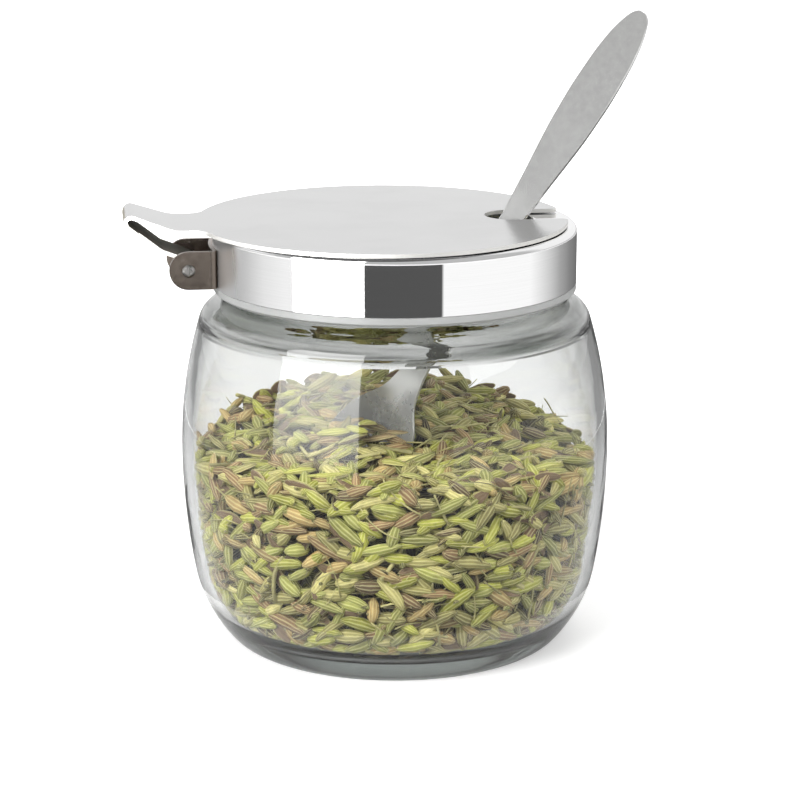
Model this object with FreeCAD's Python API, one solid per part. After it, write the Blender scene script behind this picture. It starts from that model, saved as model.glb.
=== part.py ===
import FreeCAD, Part
import math
import os

# Glass spice jar with a hinged steel lid, and a spoon that stands in fennel seeds and leaves
# through a slot in the lid.  Millimetres, +Z up.  The origin is on the jar's axis, on the surface
# that the jar stands on.  The hinge is on the -X side and the slot on the +X side.

# Glass jar: insets are measured in from the widest radius, and the neck's from the shoulder
jar_widest_radius = 40.0
jar_widest_height = 37.0
jar_wall = 1.9
base_thickness = 5.0
push_up_height = 1.2
push_up_slope = 2.4
foot_inset = 9.4
foot_ring_width = 3.4
foot_bevel = 0.9
heel_inset = 2.05
heel_height = 14.0
floor_bevel = 3.2
shoulder_inset = 4.1
shoulder_drop = 3.5
shoulder_wall = 2.2
shoulder_round = 2.4
neck_inset = 5.3
neck_wall = 2.5
neck_base_height = 66.7
neck_length = 10.6
rim_bevel = 0.7

# Fennel seeds: the heap that fills the lower jar
seed_gap = 0.3
seed_side_gap = 1.1
seed_edge_height = 37.0
seed_crown_height = 40.5

# Sealing ring, thread liner and steel collar, stacked on the neck from the inside out
seal_thickness = 1.2
seal_side_gap = 0.2
thread_room = 0.75
liner_wall = 1.7
liner_show = 1.65
liner_gap = 0.1
liner_bevel = 0.5
collar_sheet = 0.6
collar_top_bevel = 0.9
mouth_inset = 2.1
mouth_lip = 1.6
mouth_bevel = 0.35

# Lid disc and spoon slot
lid_gap = 0.2
lid_sheet = 0.7
lid_overhang = 0.65
lid_shift = 2.4
slot_width = 9.8
slot_end_gap = 0.5
slot_corner = 1.2

# Thumb lever, hairpin, return leg and knuckle, bent from the lid's sheet
lever_root_width = 17.0
lever_tip_width = 12.6
lever_tip_round = 1.6
lever_root_round = 7.0
lever_bend = 7.4
lever_bend_radius = 9.0
lever_rise_deg = 19.3
lever_reach = 16.3
hairpin_radius = 0.7
leg_width = 10.8
leg_angle_deg = 38.0
leg_bend = 4.8
leg_bend_radius = 2.0
curl_deg = 285.0

# Hinge bracket and pin
bracket_sheet = 0.8
bracket_bend = 1.3
ear_radius = 3.5
side_play = 0.5
weld_gap = 0.02
pin_radius = 1.15
pin_clearance = 0.05
pin_proud = 0.35
pin_bevel = 0.4
pin_standoff = 4.8
pin_drop = 6.9

# Spoon: lengths along the handle, measured from where its middle line crosses the lid's top
spoon_sheet = 1.0
spoon_mouth_gap = 3.8
spoon_lean_deg = 32.3
spoon_turn_deg = 35.0
spoon_above = 44.0
bowl_tip_height = 10.9
paddle_width = 8.3
bowl_length = 36.0
bowl_width = 18.5
bowl_depth = 5.0
handle_station_shares = (0.017, 0.064, 0.122, 0.214, 0.305, 0.429, 0.531, 0.68, 0.86, 0.93, 0.98, 1.02, 1.05)
handle_width_shares = (0.455, 0.77, 0.93, 1.0, 0.94, 0.69, 0.5, 0.43, 0.44, 0.52, 0.71, 0.95, 1.12)
spoon_gap = 0.4
spoon_side_gap = 0.9

# One overrun serves all cuts, and one tolerance picks edges by their place
overrun = 2.0
pick_tolerance = 0.001

# Heights and radii that follow from the jar and from the stack on its neck
foot_radius = jar_widest_radius - foot_inset
heel_radius = jar_widest_radius - heel_inset
shoulder_radius = jar_widest_radius - shoulder_inset
shoulder_height = neck_base_height - shoulder_drop
neck_radius = shoulder_radius - neck_inset
neck_bore = neck_radius - neck_wall
mouth_radius = neck_bore - mouth_inset
rim_height = neck_base_height + neck_length
flange_under = rim_height + seal_thickness
flange_top = flange_under + collar_sheet
liner_bottom = neck_base_height + liner_gap
collar_bottom = liner_bottom + liner_show
liner_bore = neck_radius + thread_room
collar_bore = liner_bore + liner_wall
collar_radius = collar_bore + collar_sheet
lid_radius = collar_radius + lid_overhang
lid_under = flange_top + lid_gap
lid_top = lid_under + lid_sheet
lid_middle = lid_under + lid_sheet / 2
pin_x = -(collar_radius + pin_standoff)
pin_z = flange_top - pin_drop
knuckle_bore = pin_radius + pin_clearance
knuckle_radius = knuckle_bore + lid_sheet
ear_inside = leg_width / 2 + side_play
ear_outside = ear_inside + bracket_sheet
spoon_cross = mouth_radius - spoon_mouth_gap
slot_end = spoon_cross - slot_end_gap
spoon_drop = lid_top - base_thickness - bowl_tip_height
spoon_below = spoon_drop / math.cos(math.radians(spoon_lean_deg)) - bowl_length

AXIS = FreeCAD.Vector(0, 0, 1)
ORIGIN = FreeCAD.Vector(0, 0, 0)


def rz(radius, height):
    """Point of a turned profile, in the XZ plane."""
    return FreeCAD.Vector(radius, 0, height)


def heading(degrees):
    """Unit vector in the XZ plane, turned up from +X."""
    angle = math.radians(degrees)
    return rz(math.cos(angle), math.sin(angle))


def line(start, end):
    """Straight edge."""
    return Part.LineSegment(start, end).toShape()


def face_of(edges):
    """Flat face inside a closed chain of edges."""
    return Part.Face(Part.Wire(Part.__sortEdges__(edges)))


def turned(edges):
    """Solid turned about the jar's axis from the edges of a closed profile."""
    return face_of(edges).revolve(ORIGIN, AXIS, 360)


def rings_at(shape, rings):
    """Circular edges about the jar's axis that lie at the given profile points."""
    picked = []
    for edge in shape.Edges:
        if not edge.Degenerated and isinstance(edge.Curve, Part.Circle):
            spot = rz(edge.Curve.Radius, edge.Curve.Center.z)
            if any(spot.distanceToPoint(ring) < pick_tolerance for ring in rings):
                picked.append(edge)
    return picked


def bevelled(shape, rings, size):
    """Bevel circular edges about the jar's axis."""
    return shape.makeChamfer(size, rings_at(shape, rings))


def chain(corners):
    """Straight edges through corners, closed back to the first."""
    return [line(start, end) for start, end in zip(corners, corners[1:] + corners[:1])]


def upright(shape, place):
    """Edges that run along Z and whose ends pass a test of their place."""
    picked = []
    for edge in shape.Edges:
        first, last = edge.Vertexes[0].Point, edge.Vertexes[-1].Point
        if abs(last.z - first.z) > math.hypot(last.x - first.x, last.y - first.y) and place(first):
            picked.append(edge)
    return picked


class Round:
    """Circle in the XZ plane that a stretch of the turned profile follows."""

    def __init__(self, centre, radius):
        self.centre = centre
        self.radius = radius

    @classmethod
    def tangent(cls, point, inward, through):
        """Circle that touches point, has its centre along inward and passes through another point."""
        chord = through - point
        radius = chord.dot(chord) / (2 * chord.dot(inward))
        return cls(point + inward * radius, radius)

    def inset(self, wall):
        """Circle about the same centre, a wall further in."""
        return Round(self.centre, self.radius - wall)

    def towards(self, point):
        """Point of the circle on the ray from its centre through a point."""
        return self.centre + (point - self.centre).normalize() * self.radius

    def at_height(self, height):
        """Point on the outer side of the circle at a height."""
        rise = height - self.centre.z
        return rz(self.centre.x + math.sqrt(self.radius ** 2 - rise ** 2), height)

    def crossing(self, point, along):
        """Point where a ray from inside the circle leaves it."""
        near = point + along * (self.centre - point).dot(along)
        away = near - self.centre
        return near + along * math.sqrt(self.radius ** 2 - away.dot(away))

    def arc(self, start, end):
        """Edge along the circle, the short way from start to end."""
        return Part.Arc(start, self.towards((start + end) / 2), end).toShape()


widest = rz(jar_widest_radius, jar_widest_height)
heel = rz(heel_radius, heel_height)
foot = rz(foot_radius, 0)
shoulder = rz(shoulder_radius, shoulder_height)
neck_base = rz(neck_radius, neck_base_height)
lower_side = Round.tangent(widest, rz(-1, 0), heel)
upper_side = Round.tangent(widest, rz(-1, 0), shoulder)
heel_side = Round.tangent(heel, (lower_side.centre - heel).normalize(), foot)


def make_glass_jar():
    """Pressed jar: standing ring round a recess, bellied side, rounded shoulder and neck."""
    ring = rz(foot_radius - foot_ring_width, 0)
    recess = rz(ring.x - push_up_slope, push_up_height)
    floor = rz(0, base_thickness)
    rim_out = rz(neck_radius, rim_height)
    rim_in = rz(neck_bore, rim_height)
    slope = (neck_base - shoulder).normalize()
    into = rz(-slope.z, slope.x)
    under_slope = shoulder + into * shoulder_wall
    neck_in = under_slope + slope * ((neck_bore - under_slope.x) / slope.x)
    round_centre = upper_side.inset(shoulder_round).crossing(neck_base + into * shoulder_round, -slope)
    round_start = upper_side.towards(round_centre)
    round_end = round_centre - into * shoulder_round
    heel_in, lower_in, upper_in = (side.inset(jar_wall) for side in (heel_side, lower_side, upper_side))
    shoulder_in = upper_in.crossing(neck_in, -slope)
    belly_in = lower_in.towards(widest)
    bend_in = heel_in.towards(heel)
    floor_edge = heel_in.at_height(base_thickness)
    edges = [
        line(rz(0, recess.z), recess),
        line(recess, ring),
        line(ring, foot),
        heel_side.arc(foot, heel),
        lower_side.arc(heel, widest),
        upper_side.arc(widest, round_start),
        Round(round_centre, shoulder_round).arc(round_start, round_end),
        line(round_end, neck_base),
        line(neck_base, rim_out),
        line(rim_out, rim_in),
        line(rim_in, neck_in),
        line(neck_in, shoulder_in),
        upper_in.arc(shoulder_in, belly_in),
        lower_in.arc(belly_in, bend_in),
        heel_in.arc(bend_in, floor_edge),
        line(floor_edge, floor),
        line(floor, rz(0, recess.z)),
    ]
    jar = turned(edges)
    jar = bevelled(jar, [foot], foot_bevel)
    jar = bevelled(jar, [floor_edge], floor_bevel)
    return bevelled(jar, [rim_out, rim_in], rim_bevel)


def spoon_frame():
    """Point where the spoon's middle line crosses the lid's top, and the spoon's directions."""
    lean = math.radians(spoon_lean_deg)
    turn = math.radians(spoon_turn_deg)
    along = rz(math.sin(lean), math.cos(lean))
    aside = rz(math.cos(lean), -math.sin(lean))
    normal = FreeCAD.Vector(0, -math.cos(turn), 0) - aside * math.sin(turn)
    return rz(spoon_cross, lid_top), along, aside, normal


def bowl_round(span):
    """Radius of the arc that is as deep as the bowl over a span of its rim."""
    return ((span / 2) ** 2 + bowl_depth ** 2) / (2 * bowl_depth)


def bowl_reach(turn):
    """How far the bowl's back reaches sideways in a direction turned away from its width."""
    across = bowl_round(bowl_width)
    return across - (across - bowl_depth) * math.sin(turn)


def spoon_hollow():
    """Room in the seeds for the bowl, open upwards and along the handle, where the spoon moves."""
    cross, along, aside, normal = spoon_frame()
    turn = math.radians(spoon_turn_deg)
    half = bowl_width / 2
    bottom = cross - along * (spoon_below + bowl_length + spoon_gap)
    left = bottom - aside * (half * math.cos(turn) + spoon_side_gap)
    right = bottom + aside * (bowl_reach(turn) + spoon_side_gap)
    top = right + along * (spoon_below + bowl_length)
    side = [left, right, top, rz(left.x, top.z)]
    front = half * math.sin(turn) + spoon_side_gap
    back = bowl_reach(math.pi / 2 - turn) + spoon_side_gap
    hollow = Part.Face(Part.makePolygon([*side, left])).extrude(FreeCAD.Vector(0, front + back, 0))
    hollow.translate(FreeCAD.Vector(0, -front, 0))
    return hollow


def make_fennel_seeds():
    """Low heap of seeds inside the glass, with the hollow that the spoon's bowl has pushed in it."""
    inset = jar_wall + seed_side_gap
    bottom = base_thickness + seed_gap
    low = rz(heel_side.inset(inset).at_height(bottom).x - 2 * floor_bevel, bottom)
    bend = heel_side.inset(inset).towards(heel)
    side = lower_side if seed_edge_height < jar_widest_height else upper_side
    edge = side.inset(inset).at_height(seed_edge_height)
    heap = turned(chain([rz(0, bottom), low, bend, edge, rz(0, seed_crown_height)]))
    return heap.cut(spoon_hollow())


def make_sealing_ring():
    """Flat soft ring that the flange presses on the glass rim."""
    outside = Part.makeCylinder(liner_bore - seal_side_gap, seal_thickness, rz(0, rim_height))
    inside = Part.makeCylinder(mouth_radius + collar_sheet + seal_side_gap, seal_thickness, rz(0, rim_height))
    return outside.cut(inside)


def make_thread_liner():
    """Plastic ring inside the steel, with a lip below it as wide as the steel."""
    lip_edge = rz(collar_radius, liner_bottom)
    lip_top = rz(collar_radius, collar_bottom)
    step = rz(collar_bore, collar_bottom)
    top = rz(collar_bore, flange_under)
    top_in = rz(liner_bore, flange_under)
    bottom_in = rz(liner_bore, liner_bottom)
    liner = turned(chain([lip_edge, lip_top, step, top, top_in, bottom_in]))
    return bevelled(liner, [lip_edge], liner_bevel)


def make_collar():
    """Steel band drawn from one sheet: wall, bevelled top corner, flange and turned-down mouth."""
    mouth_out = mouth_radius + collar_sheet
    lip_bottom = flange_top - mouth_lip
    wall_top = rz(collar_radius, flange_top)
    wall_in = rz(collar_bore, flange_under)
    mouth_top = rz(mouth_radius, flange_top)
    mouth_in = rz(mouth_out, flange_under)
    corners = [rz(collar_bore, collar_bottom), rz(collar_radius, collar_bottom), wall_top, mouth_top,
               rz(mouth_radius, lip_bottom), rz(mouth_out, lip_bottom), mouth_in, wall_in]
    collar = bevelled(turned(chain(corners)), [wall_top], collar_top_bevel)
    return bevelled(collar, [mouth_top], mouth_bevel)


def bend_points(points, side):
    """Corners of a bent sheet's face, moved sideways from the corners of its middle line."""
    moved = []
    for index, point in enumerate(points):
        before = points[max(index - 1, 0)]
        after = points[min(index + 1, len(points) - 1)]
        arriving = (point - before).normalize() if index else (after - point).normalize()
        leaving = (after - point).normalize() if point != after else arriving
        normal_in = rz(-arriving.z, arriving.x)
        normal_out = rz(-leaving.z, leaving.x)
        mitre = (normal_in + normal_out).normalize()
        moved.append(point + mitre * (side / mitre.dot(normal_in)))
    return moved


def bent_face(points, radii, sheet):
    """Face of a bent sheet seen from its edge: straight runs joined by tangent bends."""
    edges = []
    ends = []
    for side in (sheet / 2, -sheet / 2):
        corners = bend_points(points, side)
        last = corners[0]
        for index, radius in enumerate(radii, start=1):
            corner = corners[index]
            back = (corners[index - 1] - corner).normalize()
            on = (corners[index + 1] - corner).normalize()
            left_turn = back.x * on.z - back.z * on.x < 0
            bend = radius + sheet if left_turn == (side < 0) else radius
            half = back.getAngle(on) / 2
            start = corner + back * (bend / math.tan(half))
            end = corner + on * (bend / math.tan(half))
            inward = (back + on).normalize()
            middle = corner + inward * (bend / math.sin(half) - bend)
            edges += [line(last, start), Part.Arc(start, middle, end).toShape()]
            last = end
        edges.append(line(last, corners[-1]))
        ends.append((corners[0], corners[-1]))
    (left_start, left_end), (right_start, right_end) = ends
    return face_of(edges + [line(left_start, right_start), line(left_end, right_end)])


def across(face, width):
    """Solid of a face in the XZ plane, with its width shared equally to both sides."""
    solid = face.extrude(FreeCAD.Vector(0, width, 0))
    solid.translate(FreeCAD.Vector(0, -width / 2, 0))
    return solid


def lever_path():
    """Corners of the lever's middle line: lid, first bend, hairpin, last bend and knuckle."""
    pin = rz(pin_x, pin_z)
    bend = rz(-(collar_radius + lever_bend), lid_middle)
    rise = heading(180 - lever_rise_deg)
    leg = heading(-leg_angle_deg)
    half = math.radians(leg_angle_deg - lever_rise_deg) / 2
    middle_radius = hairpin_radius + lid_sheet / 2
    inward = (leg - rise).normalize()
    hairpin_x = hairpin_radius + lid_sheet - (collar_radius + lever_reach)
    tip_x = hairpin_x - inward.x * middle_radius / math.sin(half)
    tip = bend + rise * ((tip_x - bend.x) / rise.x)
    last = tip + leg * ((pin.x - leg_bend - tip.x) / leg.x)
    to_pin = pin - last
    curl_radius = knuckle_bore + lid_sheet / 2
    drop = math.degrees(math.atan2(-to_pin.z, to_pin.x) - math.asin(curl_radius / to_pin.Length))
    touch = pin + heading(90 - drop) * curl_radius
    return bend, tip, last, touch, drop


def make_knuckle(start_deg):
    """Rolled end of the return leg, wrapped round the pin from where the leg touches it."""
    pin = rz(pin_x, pin_z)
    edges = []
    for radius in (knuckle_bore, knuckle_radius):
        stops = [pin + heading(start_deg - curl_deg * share) * radius for share in (0, 1 / 2, 1)]
        edges.append(Part.Arc(*stops).toShape())
    inner, outer = edges
    ends = [line(inner.Vertexes[at].Point, outer.Vertexes[at].Point) for at in (0, 1)]
    return across(face_of([inner, outer, *ends]), leg_width)


def lever_outline():
    """Plan of the thumb lever: wide at the lid, narrower and rounded at its tip."""
    root_x = -(collar_radius - lever_root_round)
    tip_x = -(collar_radius + lever_reach)
    root = lever_root_width / 2
    tip = lever_tip_width / 2
    corners = [(root_x, -root), (root_x, root), (-(collar_radius + lever_bend), root), (tip_x, tip),
               (tip_x, -tip), (-(collar_radius + lever_bend), -root), (root_x, -root)]
    points = [FreeCAD.Vector(x, y, lid_under - lever_reach) for x, y in corners]
    block = Part.Face(Part.makePolygon(points)).extrude(AXIS * (2 * lever_reach))
    tips = upright(block, lambda spot: abs(spot.x - tip_x) < pick_tolerance)
    return block.makeFillet(lever_tip_round, tips)


def make_lid_plate():
    """Flat disc with the lever's root flowing into its rim, cut by the spoon slot."""
    centre = FreeCAD.Vector(-lid_shift, 0, lid_under)
    disc = Part.makeCylinder(lid_radius, lid_sheet, centre)
    root_length = lever_bend + collar_radius - lid_shift
    root = Part.makeBox(root_length, lever_root_width, lid_sheet,
                        FreeCAD.Vector(-(collar_radius + lever_bend), -lever_root_width / 2, lid_under))
    plate = disc.fuse(root).removeSplitter()
    rim_x = -lid_shift - math.sqrt(lid_radius ** 2 - (lever_root_width / 2) ** 2)
    corners = upright(plate, lambda spot: abs(spot.x - rim_x) < pick_tolerance)
    plate = plate.makeFillet(min(lever_root_round, lever_bend / 2), corners)
    slot = Part.makeCylinder(slot_width / 2, lid_sheet, FreeCAD.Vector(slot_end, 0, lid_under))
    mouth = Part.makeBox(lid_radius, slot_width, lid_sheet,
                         FreeCAD.Vector(slot_end, -slot_width / 2, lid_under))
    plate = plate.cut(slot.fuse(mouth))
    mouth_x = -lid_shift + math.sqrt(lid_radius ** 2 - (slot_width / 2) ** 2)
    corners = upright(plate, lambda spot: abs(spot.x - mouth_x) < pick_tolerance)
    return plate.makeFillet(slot_corner, corners)


def make_lid():
    """Lid bent from one sheet: disc, thumb lever, hairpin, return leg and rolled knuckle."""
    bend, tip, last, touch, drop = lever_path()
    radii = [lever_bend_radius, hairpin_radius, leg_bend_radius]
    start = rz(-collar_radius, lid_middle)
    strip = bent_face([start, bend, tip, last, touch], radii, lid_sheet)
    wide = across(strip, lever_root_width + overrun).common(lever_outline())
    below = Part.makeBox(2 * lever_reach, lever_root_width + overrun, lever_reach,
                         FreeCAD.Vector(-(collar_radius + 2 * lever_reach), -(lever_root_width + overrun) / 2,
                                        lid_under - lever_reach))
    upper = wide.cut(below)
    leg = across(strip, leg_width)
    return make_lid_plate().fuse([upper, leg, make_knuckle(90 - drop)]).removeSplitter()


def make_hinge_bracket():
    """Channel bent from sheet: a web curved to the collar and two round-ended ears."""
    inner = collar_radius + weld_gap
    height = 2 * ear_radius
    low = FreeCAD.Vector(0, 0, pin_z - ear_radius)
    back = math.sqrt(inner ** 2 - ear_outside ** 2)
    web = Part.makeCylinder(inner + bracket_sheet, height, low).cut(Part.makeCylinder(inner, height, low))
    ears = Part.makeBox(inner + pin_standoff + ear_radius - back, 2 * ear_outside, height,
                        FreeCAD.Vector(pin_x - ear_radius, -ear_outside, low.z))
    ears = ears.cut(Part.makeBox(inner + pin_standoff + ear_radius, 2 * ear_inside, height,
                                 FreeCAD.Vector(pin_x - ear_radius, -ear_inside, low.z)))
    reach = Part.makeBox(2 * ear_radius + pin_standoff, 2 * ear_outside, height,
                         FreeCAD.Vector(pin_x - ear_radius, -ear_outside, low.z))
    channel = ears.fuse(web.common(reach)).cut(Part.makeCylinder(inner, height, low)).removeSplitter()
    bends = upright(channel, lambda spot: spot.x > pin_x and abs(abs(spot.y) - ear_outside) < pick_tolerance)
    channel = channel.makeFillet(bracket_bend, bends)
    side = FreeCAD.Vector(0, 2 * ear_outside, 0)
    start = FreeCAD.Vector(pin_x, -ear_outside, pin_z)
    nose = Part.makeCylinder(ear_radius, side.y, start, side)
    bar = Part.makeBox(inner + pin_standoff, side.y, height, FreeCAD.Vector(pin_x, -ear_outside, low.z))
    hole = Part.makeCylinder(knuckle_bore, side.y, start, side)
    return channel.common(nose.fuse(bar)).cut(hole)


def make_hinge_pin():
    """Pin through both ears, a little proud of them and bevelled at its ends."""
    length = 2 * (ear_outside + pin_proud)
    side = FreeCAD.Vector(0, 1, 0)
    pin = Part.makeCylinder(pin_radius, length, FreeCAD.Vector(pin_x, -length / 2, pin_z), side)
    ends = [edge for edge in pin.Edges if isinstance(edge.Curve, Part.Circle)]
    return pin.makeChamfer(pin_bevel, ends)


def bowl_body(inset):
    """Ring whose outer side has the bowl's curves along and across it, set in by a sheet if asked."""
    along = bowl_round(bowl_length)
    across = bowl_round(bowl_width)
    centre = FreeCAD.Vector(-(spoon_below + bowl_length / 2), 0, along - bowl_depth)
    return Part.makeTorus(along - across, across - inset, centre, FreeCAD.Vector(0, 1, 0))


def spoon_handle():
    """Flat handle: a rounded paddle that narrows to a slim neck and widens into the bowl."""
    length = spoon_above + spoon_below
    half = paddle_width / 2
    stations = [FreeCAD.Vector(spoon_above - length * at, half * wide, 0)
                for at, wide in zip(handle_station_shares, handle_width_shares)]
    mirrored = [FreeCAD.Vector(point.x, -point.y, 0) for point in stations]
    sides = []
    for points in (stations, mirrored):
        curve = Part.BSplineCurve()
        curve.interpolate(points)
        sides.append(curve.toShape())
    tip = Part.Arc(stations[0], FreeCAD.Vector(spoon_above, 0, 0), mirrored[0]).toShape()
    face = face_of([tip, *sides, line(stations[-1], mirrored[-1])])
    return face.extrude(FreeCAD.Vector(0, 0, -spoon_sheet))


def make_spoon():
    """Spoon pressed from sheet, leaning in the slot with its bowl in the seeds."""
    length = bowl_length + 2 * overrun
    width = bowl_width + 2 * overrun
    corner = FreeCAD.Vector(-(spoon_below + bowl_length + overrun), -width / 2, -(bowl_depth + overrun))
    low = Part.makeBox(length, width, bowl_depth + overrun, corner)
    bowl = bowl_body(0).common(low)
    hollow = bowl_body(spoon_sheet).common(low)
    spoon = spoon_handle().fuse(bowl).cut(hollow).removeSplitter()
    cross, along, aside, normal = spoon_frame()
    turn = FreeCAD.Rotation(along, FreeCAD.Vector(), normal, "XZY")
    spoon.Placement = FreeCAD.Placement(cross, turn)
    return spoon


def main():
    """Build every piece and write one file for each."""
    os.makedirs("parts", exist_ok=True)
    pieces = {
        "glass_jar": make_glass_jar(),
        "fennel_seeds": make_fennel_seeds(),
        "sealing_ring": make_sealing_ring(),
        "thread_liner": make_thread_liner(),
        "collar": make_collar(),
        "lid": make_lid(),
        "hinge_bracket": make_hinge_bracket(),
        "hinge_pin": make_hinge_pin(),
        "spoon": make_spoon(),
    }
    for name, shape in pieces.items():
        solid = shape.Solids[0] if len(shape.Solids) == 1 else shape
        print(name, len(shape.Solids), shape.isValid(), round(shape.Volume, 1))
        solid.exportStep("parts/" + name + ".step")


if __name__ == "__main__":
    main()
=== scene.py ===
import logging
from dataclasses import dataclass, field
from enum import Enum

import bpy
import numpy as np
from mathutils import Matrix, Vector


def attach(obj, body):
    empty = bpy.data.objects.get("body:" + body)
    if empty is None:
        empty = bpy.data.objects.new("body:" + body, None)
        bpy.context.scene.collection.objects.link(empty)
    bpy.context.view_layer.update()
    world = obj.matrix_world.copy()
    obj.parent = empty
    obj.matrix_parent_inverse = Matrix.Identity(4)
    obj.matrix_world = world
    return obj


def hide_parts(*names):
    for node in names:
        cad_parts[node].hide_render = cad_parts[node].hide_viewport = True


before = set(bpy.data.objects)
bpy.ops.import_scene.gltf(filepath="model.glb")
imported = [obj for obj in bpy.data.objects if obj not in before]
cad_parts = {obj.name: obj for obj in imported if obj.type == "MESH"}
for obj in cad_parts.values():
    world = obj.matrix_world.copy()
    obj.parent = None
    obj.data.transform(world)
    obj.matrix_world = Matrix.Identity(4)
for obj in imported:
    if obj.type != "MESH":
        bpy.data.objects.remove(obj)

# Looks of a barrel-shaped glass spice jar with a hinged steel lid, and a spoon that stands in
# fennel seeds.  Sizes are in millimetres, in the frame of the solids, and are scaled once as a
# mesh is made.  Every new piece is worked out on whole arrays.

Array = np.ndarray
Chance = np.random.Generator
Colour = tuple[float, float, float]
Pair = tuple[float, float]
Material = bpy.types.Material
Node = bpy.types.Node
Piece = bpy.types.Object
Socket = bpy.types.NodeSocket

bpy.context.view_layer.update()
MM = 0.001
TURN = 2 * np.pi
UP = np.array([0.0, 0.0, 1.0])
RISING = (0.0, 1.0)
FALLING = (1.0, 0.0)
NOISE_BAND = (0.3, 0.7)
NO_TRIANGLES = np.zeros((0, 3), int)
log = logging.getLogger("spice_jar")


class Brushing(Enum):
    """Which way the grain of a sheet runs, as noise cycles per metre along X, Y and Z."""

    ALONG_X = (90.0, 5200.0, 5200.0)
    AROUND = (60.0, 60.0, 9000.0)
    CLOUDED = (900.0, 900.0, 900.0)


class Form(Enum):
    """Whether a fruit is still whole or has split into halves, as its belly's share of its back."""

    WHOLE = 0.92
    HALF = 0.18


def grey(level: float) -> Colour:
    """Give a colour without a hue."""
    return (level, level, level)


def made_mesh(name: str, points: Array, quads: Array, triangles: Array = NO_TRIANGLES) -> Piece:
    """Put whole arrays of points and faces into a new smooth object at the origin.

    Args:
        name: Name of the piece.
        points: Places in millimetres, in an array that ends in three coordinates.
        quads: Four point numbers for each four-sided face.
        triangles: Three point numbers for each three-sided face.

    Returns:
        The object, linked to the scene.
    """
    mesh = bpy.data.meshes.new(name)
    corners = np.concatenate([quads.ravel(), triangles.ravel()])
    starts = np.concatenate([np.arange(len(quads)) * 4, quads.size + np.arange(len(triangles)) * 3])
    mesh.vertices.add(points.size // 3)
    mesh.loops.add(len(corners))
    mesh.polygons.add(len(starts))
    mesh.vertices.foreach_set("co", (points * MM).astype(np.float32).ravel())
    mesh.loops.foreach_set("vertex_index", corners.astype(np.int32))
    mesh.polygons.foreach_set("loop_start", starts.astype(np.int32))
    mesh.polygons.foreach_set("use_smooth", np.ones(len(starts), bool))
    mesh.update(calc_edges=True)
    mesh.validate()
    piece = bpy.data.objects.new(name, mesh)
    bpy.context.scene.collection.objects.link(piece)
    return piece


def grid_faces(rows: int, columns: int, closed_rows: bool = False, closed_columns: bool = True) -> Array:
    """Number the quads of a grid of points.

    A quad joins (row, column), (row, column + 1), (row + 1, column + 1) and (row + 1, column).

    Args:
        rows: Points along the first direction.
        columns: Points along the second direction.
        closed_rows: Whether the last row joins the first.
        closed_columns: Whether the last column joins the first.

    Returns:
        Four point numbers a row.
    """
    row, column = np.indices((rows - 1 + closed_rows, columns - 1 + closed_columns))
    across, on = (column + 1) % columns, (row + 1) % rows
    quads = [row * columns + column, row * columns + across, on * columns + across, on * columns + column]
    return np.stack(quads, axis=-1).reshape(-1, 4)


def end_fans(rows: int, columns: int) -> Array:
    """Number the triangles that draw a grid's first and last row to the two points after the grid.

    Args:
        rows: Rows of the grid.
        columns: Points in each row, which closes on itself.

    Returns:
        Three point numbers a row, the first fan and then the last.
    """
    step = np.arange(columns)
    after = (step + 1) % columns
    last = (rows - 1) * columns
    tip = np.full(columns, rows * columns)
    first_fan = np.stack([tip, after, step], axis=-1)
    last_fan = np.stack([last + step, last + after, tip + 1], axis=-1)
    return np.vstack([first_fan, last_fan])


def round_axis(radii: Array, heights: Array) -> Array:
    """Carry rows of radii and heights round the Z axis: a point is (r cos t, r sin t, z)."""
    turn = np.linspace(0, TURN, radii.shape[1], endpoint=False)
    return np.stack([radii * np.cos(turn), radii * np.sin(turn), np.broadcast_to(heights, radii.shape)], -1)


def turned(name: str, radii: Array, heights: Array) -> Piece:
    """Turn a profile about the Z axis, and draw its first and last row to one point each.

    Args:
        name: Name of the piece.
        radii: Radius at each profile row and each step round the axis.
        heights: Height of each profile row.

    Returns:
        The closed piece.
    """
    rows, steps = radii.shape[0] - 2, radii.shape[1]
    side = round_axis(radii, heights[:, None])[1:-1].reshape(-1, 3)
    poles = np.outer(heights[[0, -1]], UP)
    return made_mesh(name, np.vstack([side, poles]), grid_faces(rows, steps), end_fans(rows, steps))


def rounded_loop(corners: list[Pair], radii: list[float], arc_points: int = 9, hold: float = 0.2) -> Array:
    """Round the corners of a closed loop, and hold each straight run's ends with a point near the arc.

    Each arc's centre lies on the corner's bisector, at the radius over the sine of the half angle.

    Args:
        corners: Corners in order.
        radii: Radius at each corner.
        arc_points: Points of each arc.
        hold: Distance of the holding point from the arc's end.

    Returns:
        Points of the loop.
    """
    share = np.linspace(0, 1, arc_points)[:, None]
    line = np.array(corners)
    parts = []
    for corner, before, after, radius in zip(line, np.roll(line, 1, 0), np.roll(line, -1, 0), radii):
        ways = np.stack([before, after]) - corner
        lengths = np.linalg.norm(ways, axis=1, keepdims=True)
        ways = ways / lengths
        bisector = ways.sum(axis=0) / np.linalg.norm(ways.sum(axis=0))
        half = np.arccos(np.clip(ways[0] @ ways[1], -1, 1)) / 2
        reach = radius / np.tan(half)
        centre = corner + bisector * radius / np.sin(half)
        ends = corner + ways * reach - centre
        arc = ends[0] * (1 - share) + ends[1] * share
        arc = centre + arc / np.linalg.norm(arc, axis=1, keepdims=True) * radius
        held = corner + ways * (reach + np.minimum(hold, (lengths - reach) / 4))
        parts.append(np.vstack([held[:1], arc, held[1:]]))
    return np.vstack(parts)


def read_along(at: Array, along: Array, points: Array) -> Array:
    """Read a line of points at other distances along it."""
    return np.stack([np.interp(at, along, column) for column in points.T], axis=-1)


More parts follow.
